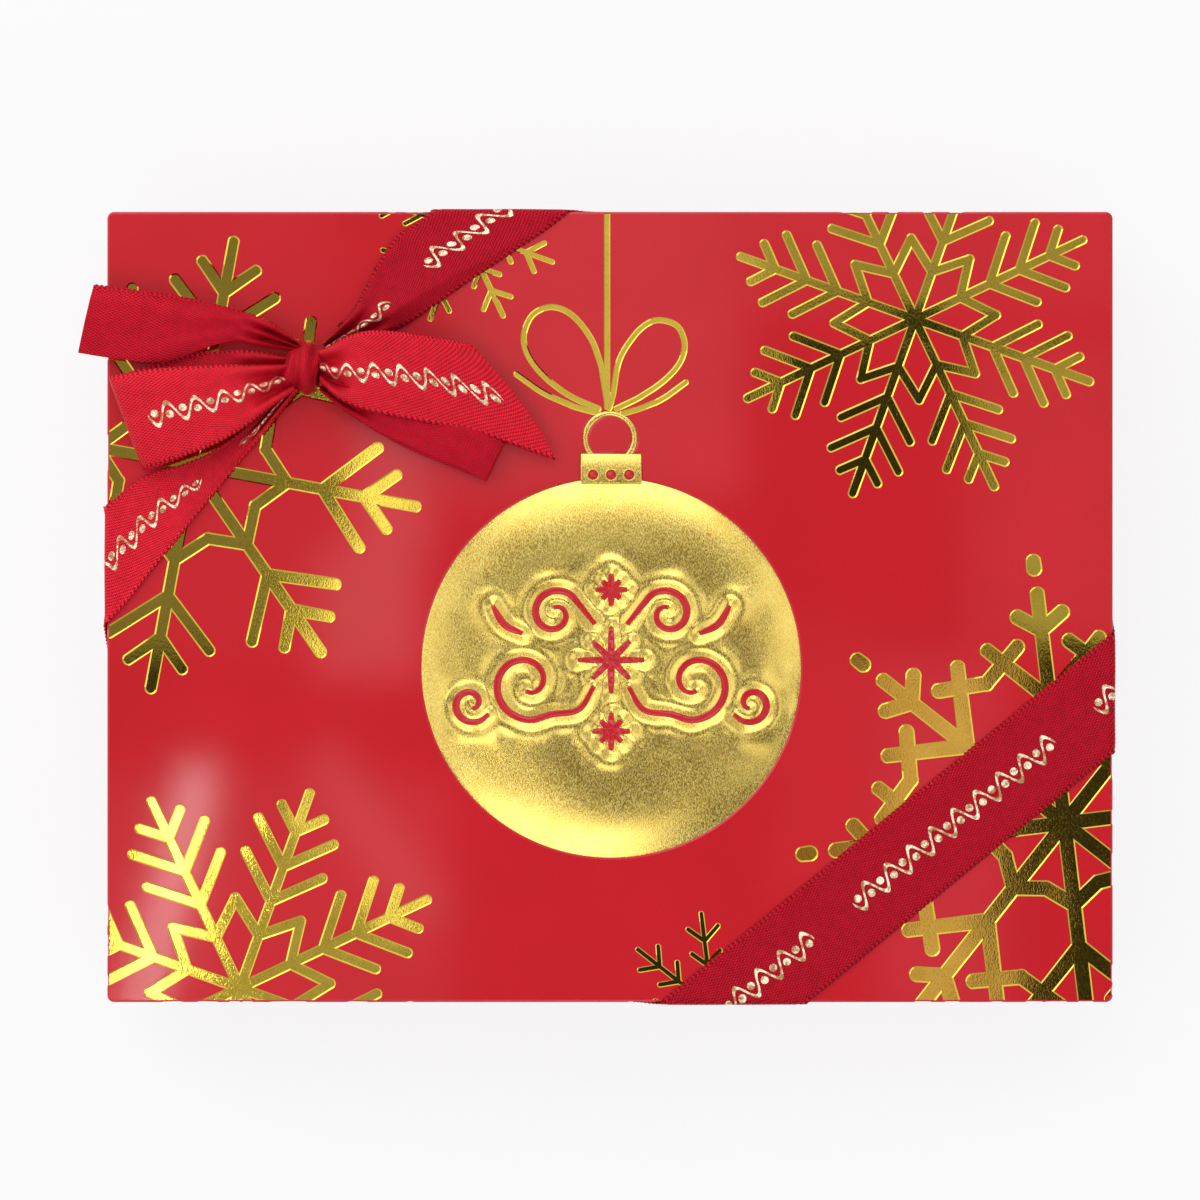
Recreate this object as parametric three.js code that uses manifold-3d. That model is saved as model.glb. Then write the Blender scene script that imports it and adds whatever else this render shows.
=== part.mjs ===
// A gift box of pralines: a board base and a lift-off lid, both wrapped in red paper. The lid is stamped
// with gold snowflakes and an embossed bauble, and a satin ribbon is tied round it with a bow.
// Millimetres, +Z up, with the origin at the middle of the base's underside.

import * as THREE from 'three';
import { mergeVertices } from 'three/addons/utils/BufferGeometryUtils.js';
import Module from 'manifold-3d';

const wasm = await Module();
wasm.setup();

// Pralines
const COLUMNS = 5;
const ROWS = 4;
const PRALINE_WIDTH = 24;
const PRALINE_HEIGHT = 16;
const PRALINE_EDGE = 1.5;
const FLAT_HEIGHT = 13;
const SQUARE_WIDTH = 22;
const SQUARE_RADIUS = 3;
const BAR_WIDTH = 17;
const BAR_HEIGHT = 14;
const BAR_SHOULDER = 5;
const OVAL_WIDTH = 18;
const PYRAMID_WIDTH = 23;
const PYRAMID_TOP = 11;
const PYRAMID_SHOULDER = 4.8;
const PYRAMID_HEIGHT = 15;
const PYRAMID_RADIUS = 2;
const CUP_FLUTES = 12;
const CUP_FLUTE_DEPTH = 0.7;
const CUP_FOOT = 18;
const CUP_WALL = 11.2;
const CUP_TOP = 13;

// Formed tray that holds them
const TRAY_SHEET = 0.6;
const TRAY_LIP = 2;
const TRAY_FIT = 0.4;
const POCKET_DEPTH = 11;
const POCKET_RADIUS = 5;
const POCKET_CLEARANCE = 1.2;
const POCKET_DRAFT = 1;
const WEB_X = 3.45;
const WEB_Y = 2.05;

// Board box, its wrap and its lid
const BOARD = 1.5;
const PAPER = 0.3;
const GLUE = 0.1;
const CORNER_RADIUS = 1.2;
const INNER_RADIUS = 0.4;
const HEADROOM = 4.9;
const BASE_REVEAL = 8;
const LID_FIT = 0.9;
const SEAT_GAP = 0.2;
const TURN_IN = 14;

// Padded sheet under the lid
const PAD_THICKNESS = 3.6;
const PAD_EDGE = 1.8;
const PAD_FIT = 1.5;
const PAD_RADIUS = 6;
const PAD_DRAW = 1.6;
const PAD_TUCK = 1.5;
const PAD_POINTS = 44;
const PAD_CROWN_RINGS = [0.88, 0.7, 0.45, 0.2];

// Stamped foil
const FOIL = 0.1;
const FLAKE_ARMS = 8;
const RING_MITRE = 0.6;
const STAR_FLAKE = {
  tip: 33,
  stroke: 1.62,
  branches: [
    { at: 14.3, length: 9.6, angle: 46 },
    { at: 20, length: 9.4, angle: 46 },
    { at: 25.8, length: 5.6, angle: 46 },
  ],
  ring: { onArm: 8.7, between: 14.1 },
};
const WEB_FLAKE = {
  tip: 41.4,
  stroke: 2.7,
  branches: [
    { at: 21.6, length: 15.1, angle: 45 },
    { at: 33.8, length: 6.1, angle: 55 },
  ],
  ring: { onArm: 14.4, between: 11.8 },
};
const RING_FLAKE = {
  tip: 40.5,
  stroke: 2.1,
  branches: [
    { at: 23, length: 13, angle: 47 },
    { at: 30.5, length: 7.7, angle: 45 },
  ],
  ring: { onArm: 16.9, between: 13 },
};
const LARGE_PRINT = 1.116;

const PRINT_MARGIN = 0.3;

// Where each flake lies: corner is the corner of the lid that insetX and insetY are measured from
const FLAKES = [
  {
    name: 'flake_back_right',
    motif: STAR_FLAKE,
    print: 1,
    turn: 25.3,
    corner: [1, 1],
    insetX: 34.4,
    insetY: 18.6,
  },
  {
    name: 'flake_front_left',
    motif: STAR_FLAKE,
    print: LARGE_PRINT,
    turn: 25.3,
    corner: [-1, -1],
    insetX: 23.1,
    insetY: 2.5,
  },
  {
    name: 'flake_right',
    motif: WEB_FLAKE,
    print: 1,
    turn: 6.8,
    corner: [1, -1],
    insetX: 8.4,
    insetY: 31.2,
  },
  {
    name: 'flake_left',
    motif: RING_FLAKE,
    print: 1,
    turn: -10.5,
    corner: [-1, 1],
    insetX: 14.8,
    insetY: 44,
  },
];

// Embossed bauble, and the thread and bow that it hangs from
const BAUBLE_RADIUS = 33;
const BAUBLE_RISE = 0.7;
const BAUBLE_EDGE = 0.35;
const BAUBLE_RINGS = [0.93, 0.75, 0.45];
const BAUBLE_Y = -10.6;
const CAP_WIDTH = 10.6;
const CAP_HEIGHT = 5.2;
const CAP_OVERLAP = 0.9;
const RING_RADIUS = 4.77;
const RING_STROKE = 0.94;
const THREAD_STROKE = 0.95;
const THREAD_TOP_INSET = 0.6;
const LINE_KNOT_RISE = 1.7;
const LINE_STEPS = 9;
const LINE_LOOP_LEFT = [[0, 0], [-3.1, 11.9], [-10, 17.4], [-14.8, 12.4], [-11.2, 5.3], [-0.4, -0.3]];
const LINE_LOOP_RIGHT = [[0, 0], [1.8, 8.1], [8.4, 15.1], [13.2, 10.9], [9.5, 4.5], [0.4, -0.3]];
const LINE_TAIL_LEFT = [[-16.1, 5.7], [-11.5, 2.5], [-6.4, 0.2], [0, -0.8]];
const LINE_TAIL_RIGHT = [[13.4, 4.3], [9.5, 1.5], [5.9, -0.1], [0, -0.8]];

// Satin ribbon: where the middle of each band crosses the lid's edges, from the corner that it cuts off
const RIBBON_WIDTH = 16;
const RIBBON_SHEET = 0.3;
const RIBBON_TAB = 8;
const FRONT_RIGHT_CROSSING = { along: 66, across: 53.9 };
const BACK_LEFT_CROSSING = { along: 69.3, across: 61.2 };

// Bow: places are measured from the knot, loops and tails from its edge
const KNOT_INSET = { left: 34.4, back: 27.2 };
const KNOT_LENGTH = 7;
const KNOT_WIDTH = 9;
const KNOT_HEIGHT = 6.2;
const KNOT_EDGE = 1.2;
const KNOT_TURN = -12;
const BOW_GAP = 0.35;
const GATHER_WIDTH = 4;
const BAND_OPENS = 0.55;
const LOOP_MOUTH = 1.2;
const LOOP_FOLD = 3;
const STRIP_STEPS = 14;
const LOOP_LEFT = {
  from: 212,
  turn: 198,
  reach: 31.3,
  open: 19,
  low: 0.8,
  high: 5.6,
  skew: -12,
  spread: 0.98,
};
const LOOP_RIGHT = {
  from: -50,
  turn: -26,
  reach: 33,
  open: 19,
  low: 0.8,
  high: 3.8,
  skew: 8,
  spread: 0.95,
};
const TAIL_LEFT = {
  from: 130,
  turn: 168,
  reach: 37.7,
  open: 33,
  knotRise: 3.2,
  middleRise: 4,
  endRise: 3.2,
  skew: -12,
  spread: 0.8,
};
const TAIL_RIGHT = {
  from: 10,
  turn: -9,
  reach: 40,
  open: 17,
  knotRise: 5,
  middleRise: 5.8,
  endRise: 3.4,
  skew: 27,
  spread: 0.98,
};

// Sizes that follow from the ones above
const WALL = 2 * PAPER + 2 * GLUE + BOARD;
const POCKET_WIDTH = PRALINE_WIDTH + 2 * POCKET_CLEARANCE;
const POCKET_MOUTH = POCKET_WIDTH + 2 * POCKET_DRAFT;
const PITCH_X = POCKET_MOUTH + WEB_X;
const PITCH_Y = POCKET_MOUTH + WEB_Y;
const TRAY_LENGTH = COLUMNS * PITCH_X + 2 * TRAY_LIP;
const TRAY_WIDTH = ROWS * PITCH_Y + 2 * TRAY_LIP;
const BASE_LENGTH = TRAY_LENGTH + 2 * (TRAY_FIT + WALL);
const BASE_WIDTH = TRAY_WIDTH + 2 * (TRAY_FIT + WALL);
const LID_LENGTH = BASE_LENGTH + 2 * (LID_FIT + WALL);
const LID_WIDTH = BASE_WIDTH + 2 * (LID_FIT + WALL);
const TRAY_FLOOR = WALL + GLUE;
const DECK_TOP = TRAY_FLOOR + TRAY_SHEET + POCKET_DEPTH;
const PRALINE_FLOOR = TRAY_FLOOR + TRAY_SHEET + GLUE;
const LID_CEILING = PRALINE_FLOOR + PRALINE_HEIGHT + HEADROOM + PAD_THICKNESS + GLUE;
const BASE_HEIGHT = LID_CEILING - SEAT_GAP;
const LID_TOP = LID_CEILING + WALL;
const LID_RIM = BASE_REVEAL;
const FOIL_LEVEL = LID_TOP + GLUE;
const RIBBON_LIFT = GLUE + FOIL + GLUE;
const RIBBON_LEVEL = LID_TOP + RIBBON_LIFT;
const KNOT_X = KNOT_INSET.left - LID_LENGTH / 2;
const KNOT_Y = LID_WIDTH / 2 - KNOT_INSET.back;
const BEYOND = 1;

function material(color, roughness, metalness = 0) {
  return new THREE.MeshStandardMaterial({ color, roughness, metalness });
}

const redPaper = material(0xc82a34, 0.5);
const greyBoard = material(0x8f877c, 0.9);
const whitePaper = material(0xf3efe6, 0.8);
const paddedPaper = material(0xefe6d6, 0.8);
const goldFoil = material(0xd6b04a, 0.3, 0.9);
const satin = material(0xb8182c, 0.5);
const trayFilm = material(0x4a2a1a, 0.4);
const darkChocolate = material(0x2b140c, 0.35);
const milkChocolate = material(0x5c2f1a, 0.35);
const whiteChocolate = material(0xe8d3a8, 0.4);

const box = new THREE.Group();

function addPiece(name, geometry, look) {
  const mesh = new THREE.Mesh(geometry, look);
  mesh.name = name;
  box.add(mesh);
  return mesh;
}

// Joining and cutting solids

function solidOf(geometry) {
  const bare = geometry.clone();
  bare.deleteAttribute('normal');
  bare.deleteAttribute('uv');
  const merged = mergeVertices(bare);
  const vertProperties = new Float32Array(merged.attributes.position.array);
  const triVerts = new Uint32Array(merged.index.array);
  return new wasm.Manifold(new wasm.Mesh({ numProp: 3, vertProperties, triVerts }));
}

function geometryOf(solid) {
  const mesh = solid.getMesh();
  const geometry = new THREE.BufferGeometry();
  geometry.setAttribute('position', new THREE.BufferAttribute(mesh.vertProperties, 3));
  geometry.setIndex(new THREE.BufferAttribute(mesh.triVerts, 1));
  geometry.computeVertexNormals();
  return geometry;
}

function joined(geometries) {
  return geometries.map(solidOf).reduce((whole, next) => whole.add(next));
}

// Basic shapes

function slab(shape, bottom, top) {
  const options = { depth: top - bottom, bevelEnabled: false, curveSegments: 3 };
  return new THREE.ExtrudeGeometry(shape, options).translate(0, 0, bottom);
}

function polygon(points) {
  return new THREE.Shape(points.map(([x, y]) => new THREE.Vector2(x, y)));
}

function roundedRectangle(length, width, radius) {
  const x = length / 2 - radius;
  const y = width / 2 - radius;
  const shape = new THREE.Shape();
  shape.absarc(x, y, radius, 0, Math.PI / 2);
  shape.absarc(-x, y, radius, Math.PI / 2, Math.PI);
  shape.absarc(-x, -y, radius, Math.PI, 1.5 * Math.PI);
  shape.absarc(x, -y, radius, 1.5 * Math.PI, 2 * Math.PI);
  return shape;
}

function block(low, high) {
  const size = high.map((value, axis) => value - low[axis]);
  const middle = high.map((value, axis) => (value + low[axis]) / 2);
  return new THREE.BoxGeometry(...size).translate(...middle);
}

// A closed body through rings of equal point counts, with a middle point on each end
function loft(rings) {
  const count = rings[0].length;
  const total = (ring) => ring.reduce((sum, point) => sum.add(point), new THREE.Vector3());
  const middle = (ring) => total(ring).divideScalar(count);
  const points = [...rings.flat(), middle(rings[0]), middle(rings.at(-1))];
  const start = rings.length * count;
  const index = [];
  for (let j = 0; j < count; j += 1) {
    const next = (j + 1) % count;
    for (let i = 0; i + 1 < rings.length; i += 1) {
      const row = i * count;
      index.push(row + j, row + next, row + count + next);
      index.push(row + j, row + count + next, row + count + j);
    }
    const last = start - count;
    index.push(start, next, j);
    index.push(start + 1, last + j, last + next);
  }
  if (signedVolume(points, index) < 0) {
    index.reverse();
  }
  const geometry = new THREE.BufferGeometry().setFromPoints(points);
  geometry.setIndex(index);
  geometry.computeVertexNormals();
  return geometry;
}

function signedVolume(points, index) {
  let volume = 0;
  for (let i = 0; i < index.length; i += 3) {
    const [a, b, c] = [points[index[i]], points[index[i + 1]], points[index[i + 2]]];
    volume += a.dot(new THREE.Vector3().crossVectors(b, c)) / 6;
  }
  return volume;
}

function ringAt(shape, level, divisions) {
  return shape.extractPoints(divisions).shape.map(({ x, y }) => new THREE.Vector3(x, y, level));
}

// Board, wrap and liners of the base and the lid

function basePlan(inset) {
  const radius = Math.max(CORNER_RADIUS - inset, INNER_RADIUS);
  return roundedRectangle(BASE_LENGTH - 2 * inset, BASE_WIDTH - 2 * inset, radius);
}

function lidPlan(inset) {
  const radius = Math.max(CORNER_RADIUS - inset, INNER_RADIUS);
  return roundedRectangle(LID_LENGTH - 2 * inset, LID_WIDTH - 2 * inset, radius);
}

const skin = PAPER + GLUE;

function addBase() {
  const outer = solidOf(slab(basePlan(0), 0, BASE_HEIGHT));
  const core = solidOf(slab(basePlan(PAPER), PAPER, BASE_HEIGHT - PAPER));
  const mouth = solidOf(slab(basePlan(WALL), BASE_HEIGHT - PAPER - BEYOND, BASE_HEIGHT + BEYOND));
  const turnedOuter = solidOf(slab(basePlan(WALL - PAPER), BASE_HEIGHT - TURN_IN, BASE_HEIGHT));
  const turnedInner = solidOf(slab(basePlan(WALL), BASE_HEIGHT - TURN_IN - BEYOND, BASE_HEIGHT + BEYOND));
  const wrap = outer.subtract(core).subtract(mouth).add(turnedOuter.subtract(turnedInner));
  addPiece('base_wrap', geometryOf(wrap), redPaper);

  const tray = solidOf(slab(basePlan(skin), skin, BASE_HEIGHT - skin));
  const hollow = solidOf(slab(basePlan(skin + BOARD), skin + BOARD, BASE_HEIGHT + BEYOND));
  addPiece('base_board', geometryOf(tray.subtract(hollow)), greyBoard);

  addPiece('base_liner', slab(basePlan(WALL), WALL - PAPER, WALL), whitePaper);
}

function addLid() {
  const outer = solidOf(slab(lidPlan(0), LID_RIM, LID_TOP));
  const core = solidOf(slab(lidPlan(PAPER), LID_RIM + PAPER, LID_TOP - PAPER));
  const mouth = solidOf(slab(lidPlan(WALL), LID_RIM - BEYOND, LID_RIM + PAPER + BEYOND));
  const turnedOuter = solidOf(slab(lidPlan(WALL - PAPER), LID_RIM, LID_RIM + TURN_IN));
  const turnedInner = solidOf(slab(lidPlan(WALL), LID_RIM - BEYOND, LID_RIM + TURN_IN + BEYOND));
  const wrap = outer.subtract(core).subtract(mouth).add(turnedOuter.subtract(turnedInner));
  addPiece('lid_wrap', geometryOf(wrap), redPaper);

  const cover = solidOf(slab(lidPlan(skin), LID_RIM + skin, LID_TOP - skin));
  const hollow = solidOf(slab(lidPlan(skin + BOARD), LID_RIM - BEYOND, LID_TOP - skin - BOARD));
  addPiece('lid_board', geometryOf(cover.subtract(hollow)), greyBoard);

  addPiece('lid_liner', slab(lidPlan(WALL), LID_CEILING, LID_CEILING + PAPER), whitePaper);
}

// Padded sheet: flat where it is glued, crowned below, with its sides drawn in between the corners
function addPad() {
  const length = BASE_LENGTH - 2 * (WALL + PAD_FIT);
  const width = BASE_WIDTH - 2 * (WALL + PAD_FIT);
  const outline = roundedRectangle(length, width, PAD_RADIUS).getSpacedPoints(PAD_POINTS).slice(0, -1);
  const drawnIn = outline.map(({ x, y }) => {
    const alongX = Math.max(0, 1 - (2 * x / length) ** 2);
    const alongY = Math.max(0, 1 - (2 * y / width) ** 2);
    const inX = Math.abs(x) > length / 2 - PAD_RADIUS ? alongY : 0;
    const inY = Math.abs(y) > width / 2 - PAD_RADIUS ? alongX : 0;
    return new THREE.Vector2(x - Math.sign(x) * PAD_DRAW * inX, y - Math.sign(y) * PAD_DRAW * inY);
  });
  const top = LID_CEILING - GLUE;
  const tucked = 1 - 2 * PAD_TUCK / width;
  const lower = (scale, drop) => ({ x, y }) => new THREE.Vector3(x * scale, y * scale, top - drop);
  const ring = (scale, drop) => drawnIn.map(lower(scale, drop));
  const crown = PAD_THICKNESS - PAD_EDGE;
  const rings = [ring(tucked, 0), ring(1, PAD_EDGE / 2), ring(tucked, PAD_EDGE)];
  for (const part of PAD_CROWN_RINGS) {
    rings.push(ring(part, PAD_EDGE + crown * Math.sqrt(1 - part ** 2)));
  }
  addPiece('lid_pad', loft(rings), paddedPaper);
}

// Formed tray with one pocket for each praline

function eachPlace(visit) {
  for (let row = 0; row < ROWS; row += 1) {
    for (let column = 0; column < COLUMNS; column += 1) {
      const x = (column - (COLUMNS - 1) / 2) * PITCH_X;
      const y = ((ROWS - 1) / 2 - row) * PITCH_Y;
      visit(row, column, x, y);
    }
  }
}

function pocket(offset, bottom, top) {
  const low = POCKET_WIDTH + 2 * offset;
  const rise = (level) => 2 * POCKET_DRAFT * (level - TRAY_FLOOR) / (DECK_TOP - TRAY_FLOOR);
  const ring = (level) => {
    const shape = roundedRectangle(low + rise(level), low + rise(level), POCKET_RADIUS + offset);
    return ringAt(shape, level, 1);
  };
  return loft([ring(bottom), ring(top)]);
}

function addTray() {
  const plan = (inset) => roundedRectangle(TRAY_LENGTH - 2 * inset, TRAY_WIDTH - 2 * inset, CORNER_RADIUS);
  const under = solidOf(slab(plan(TRAY_SHEET), TRAY_FLOOR - BEYOND, DECK_TOP - TRAY_SHEET));
  let tray = solidOf(slab(plan(0), TRAY_FLOOR, DECK_TOP)).subtract(under);
  eachPlace((row, column, x, y) => {
    const cup = solidOf(pocket(TRAY_SHEET, TRAY_FLOOR, DECK_TOP - TRAY_SHEET / 2).translate(x, y, 0));
    tray = tray.add(cup);
  });
  eachPlace((row, column, x, y) => {
    const room = solidOf(pocket(0, TRAY_FLOOR + TRAY_SHEET, DECK_TOP + BEYOND).translate(x, y, 0));
    tray = tray.subtract(room);
  });
  addPiece('insert_tray', geometryOf(tray), trayFilm);
}

// Pralines, each standing on z = 0 about its own middle

const reach = PRALINE_WIDTH / 2;

function domePraline(width = PRALINE_WIDTH) {
  const profile = [new THREE.Vector2(0, 0), new THREE.Vector2(reach - PRALINE_EDGE / 2, 0)];
  const steps = 5;
  for (let i = 0; i <= steps; i += 1) {
    const angle = (i / steps) * (Math.PI / 2);
    const across = i === steps ? 0 : reach * Math.cos(angle) ** 0.8;
    const up = PRALINE_EDGE + (PRALINE_HEIGHT - PRALINE_EDGE) * Math.sin(angle);
    profile.push(new THREE.Vector2(across, up));
  }
  const dome = new THREE.LatheGeometry(profile, 18).rotateX(Math.PI / 2);
  return dome.scale(1, width / PRALINE_WIDTH, 1);
}

function bevelled(shape, depth, segments) {
  const options = { bevelThickness: PRALINE_EDGE, bevelSize: PRALINE_EDGE, bevelOffset: -PRALINE_EDGE };
  const rest = { depth: depth - 2 * PRALINE_EDGE, bevelSegments: 2, curveSegments: segments };
  return new THREE.ExtrudeGeometry(shape, { ...options, ...rest }).translate(0, 0, PRALINE_EDGE);
}

function squarePraline() {
  return bevelled(roundedRectangle(SQUARE_WIDTH, SQUARE_WIDTH, SQUARE_RADIUS), FLAT_HEIGHT, 2);
}

function heartPraline() {
  const shape = new THREE.Shape();
  shape.moveTo(0, reach * 0.55);
  shape.bezierCurveTo(reach * 0.1, reach, reach, reach * 1.1, reach, reach * 0.3);
  shape.bezierCurveTo(reach, -reach * 0.35, reach * 0.4, -reach * 0.6, 0, -reach * 0.95);
  shape.bezierCurveTo(-reach * 0.4, -reach * 0.6, -reach, -reach * 0.35, -reach, reach * 0.3);
  shape.bezierCurveTo(-reach, reach * 1.1, -reach * 0.1, reach, 0, reach * 0.55);
  return bevelled(shape, FLAT_HEIGHT, 5);
}

function barPraline() {
  const half = BAR_WIDTH / 2;
  const arch = new THREE.Shape();
  arch.moveTo(-half, 0);
  arch.lineTo(half, 0);
  arch.absellipse(0, BAR_SHOULDER, half, BAR_HEIGHT - BAR_SHOULDER, 0, Math.PI);
  const bar = bevelled(arch, PRALINE_WIDTH, 5).translate(0, 0, -reach);
  return bar.rotateX(Math.PI / 2).rotateZ(Math.PI / 2);
}

function pyramidPraline() {
  const square = (width, level) => ringAt(roundedRectangle(width, width, PYRAMID_RADIUS), level, 2);
  return loft([
    square(PYRAMID_WIDTH, 0),
    square(PYRAMID_WIDTH, PYRAMID_SHOULDER),
    square(PYRAMID_TOP, PYRAMID_HEIGHT),
  ]);
}

function cupPraline() {
  const steps = CUP_FLUTES * 3;
  const ring = (radius, depth, level) => Array.from({ length: steps }, (unused, i) => {
    const angle = (i / steps) * 2 * Math.PI;
    const flute = radius + depth * (Math.cos(CUP_FLUTES * angle) - 1);
    return new THREE.Vector3(flute * Math.cos(angle), flute * Math.sin(angle), level);
  });
  return loft([
    ring(CUP_FOOT / 2, CUP_FLUTE_DEPTH, 0),
    ring(reach, CUP_FLUTE_DEPTH, CUP_WALL),
    ring(reach - CUP_FLUTE_DEPTH, 0, CUP_WALL + PRALINE_EDGE),
    ring(CUP_TOP / 2, 0, PRALINE_HEIGHT),
  ]);
}

const KINDS = {
  dome: { make: () => domePraline(), look: darkChocolate },
  square: { make: squarePraline, look: milkChocolate },
  heart: { make: heartPraline, look: milkChocolate },
  bar: { make: barPraline, look: whiteChocolate },
  cup: { make: cupPraline, look: darkChocolate },
  oval: { make: () => domePraline(OVAL_WIDTH), look: milkChocolate },
  pyramid: { make: pyramidPraline, look: darkChocolate },
};

const LAYOUT = [
  ['dome', 'square', 'heart', 'bar', 'cup'],
  ['cup', 'oval', 'dome', 'pyramid', 'square'],
  ['square', 'bar', 'cup', 'heart', 'dome'],
  ['pyramid', 'dome', 'oval', 'square', 'bar'],
];

function addPralines() {
  eachPlace((row, column, x, y) => {
    const kind = LAYOUT[row % LAYOUT.length][column % LAYOUT[0].length];
    const { make, look } = KINDS[kind];
    const piece = addPiece(`${kind}_praline_r${row + 1}c${column + 1}`, make(), look);
    piece.position.set(x, y, PRALINE_FLOOR);
  });
}

// Foil

function polar(radius, degrees) {
  const angle = THREE.MathUtils.degToRad(degrees);
  return [radius * Math.cos(angle), radius * Math.sin(angle)];
}

// One side of a flake's arm, from its foot to its tip: the arm lies along x, with branches that lean out
function armSide({ tip, stroke: width, branches }) {
  const half = width / 2;
  const points = [];
  for (const { at, length, angle } of branches) {
    const [cos, sin] = polar(1, angle);
    const inner = half * (1 - cos) / sin;
    const outer = half * (1 + cos) / sin;
    points.push([at - sin * half + inner * cos, half]);
    points.push([at - sin * half + length * cos, cos * half + length * sin]);
    points.push([at + sin * half + length * cos, -cos * half + length * sin]);
    points.push([at + sin * half + outer * cos, half]);
  }
  points.push([tip, half]);
  return points;
}

function flakeOutline(motif) {
  const step = 360 / FLAKE_ARMS;
  const side = armSide(motif);
  const valley = motif.stroke / 2 / Math.sin(THREE.MathUtils.degToRad(step / 2));
  const points = [];
  for (let arm = 0; arm < FLAKE_ARMS; arm += 1) {
    const [cos, sin] = polar(1, arm * step);
    const turned = ([x, y]) => [x * cos - y * sin, x * sin + y * cos];
    points.push(polar(valley, (arm - 0.5) * step));
    points.push(...side.map(([x, y]) => turned([x, -y])));
    points.push(...side.toReversed().map(turned));
  }
  return polygon(points);
}

// The zigzag that ties the arms together near the middle
function flakeRing({ stroke: width, ring }) {
  const step = 360 / FLAKE_ARMS;
  const zigzag = (offset) => Array.from({ length: 2 * FLAKE_ARMS }, (unused, i) => {
    const radius = i % 2 ? ring.between : ring.onArm;
    return polar(radius + offset, (i * step) / 2);
  });
  const shape = polygon(zigzag(width * RING_MITRE));
  shape.holes.push(polygon(zigzag(-width * RING_MITRE)));
  return shape;
}

function addFlakes() {
  const x = LID_LENGTH / 2 - PRINT_MARGIN;
  const y = LID_WIDTH / 2 - PRINT_MARGIN;
  const top = solidOf(block([-x, -y, -FOIL], [x, y, 2 * FOIL]));
  for (const { name, motif, print, turn, corner, insetX, insetY } of FLAKES) {
    const flake = joined([slab(flakeOutline(motif), 0, FOIL), slab(flakeRing(motif), 0, FOIL)]);
    const atX = corner[0] * (LID_LENGTH / 2 - insetX);
    const atY = corner[1] * (LID_WIDTH / 2 - insetY);
    const placed = flake.scale([print, print, 1]).rotate(0, 0, turn).translate(atX, atY, 0);
    addPiece(name, geometryOf(largestOf(placed.intersect(top)).translate(0, 0, FOIL_LEVEL)), goldFoil);
  }
}

// A motif that is cut by the lid's edge can leave loose ends, which stay off
function largestOf(solid) {
  return solid.decompose().reduce((most, next) => (next.volume() > most.volume() ? next : most));
}

const capBottom = BAUBLE_Y + BAUBLE_RADIUS - CAP_OVERLAP;
const ringMiddle = capBottom + CAP_HEIGHT + RING_RADIUS / 2;

function addBauble() {
  const profile = [new THREE.Vector2(0, 0), new THREE.Vector2(BAUBLE_RADIUS, 0)];
  profile.push(new THREE.Vector2(BAUBLE_RADIUS, BAUBLE_EDGE));
  for (const part of BAUBLE_RINGS) {
    const rise = BAUBLE_EDGE + (BAUBLE_RISE - BAUBLE_EDGE) * Math.sqrt(1 - part ** 2);
    profile.push(new THREE.Vector2(BAUBLE_RADIUS * part, rise));
  }
  profile.push(new THREE.Vector2(0, BAUBLE_RISE));
  const ball = new THREE.LatheGeometry(profile, 48).rotateX(Math.PI / 2).translate(0, BAUBLE_Y, 0);
  const cap = block([-CAP_WIDTH / 2, capBottom, 0], [CAP_WIDTH / 2, capBottom + CAP_HEIGHT, BAUBLE_EDGE]);
  const hoop = new THREE.Shape().absarc(0, ringMiddle, RING_RADIUS, 0, 2 * Math.PI);
  hoop.holes.push(new THREE.Path().absarc(0, ringMiddle, RING_RADIUS - RING_STROKE, 0, 2 * Math.PI));
  const options = { depth: BAUBLE_EDGE / 2, bevelEnabled: false, curveSegments: 20 };
  const ring = new THREE.ExtrudeGeometry(hoop, options);
  const bauble = joined([ball, cap, ring]).translate(0, 0, FOIL_LEVEL);
  addPiece('bauble', geometryOf(bauble), goldFoil);
}

// A flat line of foil along points
function stroke(points, width) {
  const path = points.map(([x, y]) => new THREE.Vector2(x, y));
  const side = path.map((point, i) => {
    const before = path[Math.max(i - 1, 0)];
    const after = path[Math.min(i + 1, path.length - 1)];
    const along = after.clone().sub(before).normalize();
    return new THREE.Vector2(-along.y, along.x).multiplyScalar(width / 2);
  });
  const left = path.map((point, i) => point.clone().add(side[i]));
  const right = path.map((point, i) => point.clone().sub(side[i]));
  return slab(new THREE.Shape([...right, ...left.reverse()]), 0, FOIL);
}

function addBaubleBow() {
  const knotY = ringMiddle + RING_RADIUS + LINE_KNOT_RISE;
  const half = Math.ceil(LINE_STEPS / 2);
  const line = (points) => {
    const curve = new THREE.CatmullRomCurve3(points.map(([x, y]) => new THREE.Vector3(x, knotY + y, 0)));
    const path = curve.getPoints(LINE_STEPS).map(({ x, y }) => [x, y]);
    return [path.slice(0, half + 1), path.slice(half - 1)].map((part) => stroke(part, THREAD_STROKE));
  };
  const thread = stroke([[0, knotY - THREAD_STROKE], [0, LID_WIDTH / 2 - THREAD_TOP_INSET]], THREAD_STROKE);
  const lines = [LINE_LOOP_LEFT, LINE_LOOP_RIGHT, LINE_TAIL_LEFT, LINE_TAIL_RIGHT].flatMap(line);
  addPiece('bauble_bow', geometryOf(joined([thread, ...lines]).translate(0, 0, FOIL_LEVEL)), goldFoil);
}

// Ribbon bands

// The lid's four side faces, each reached by turning the front one about the upright axis
const SIDES = [
  { turn: 0, half: LID_WIDTH / 2 },
  { turn: 90, half: LID_LENGTH / 2 },
  { turn: 180, half: LID_WIDTH / 2 },
  { turn: 270, half: LID_LENGTH / 2 },
];

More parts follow.
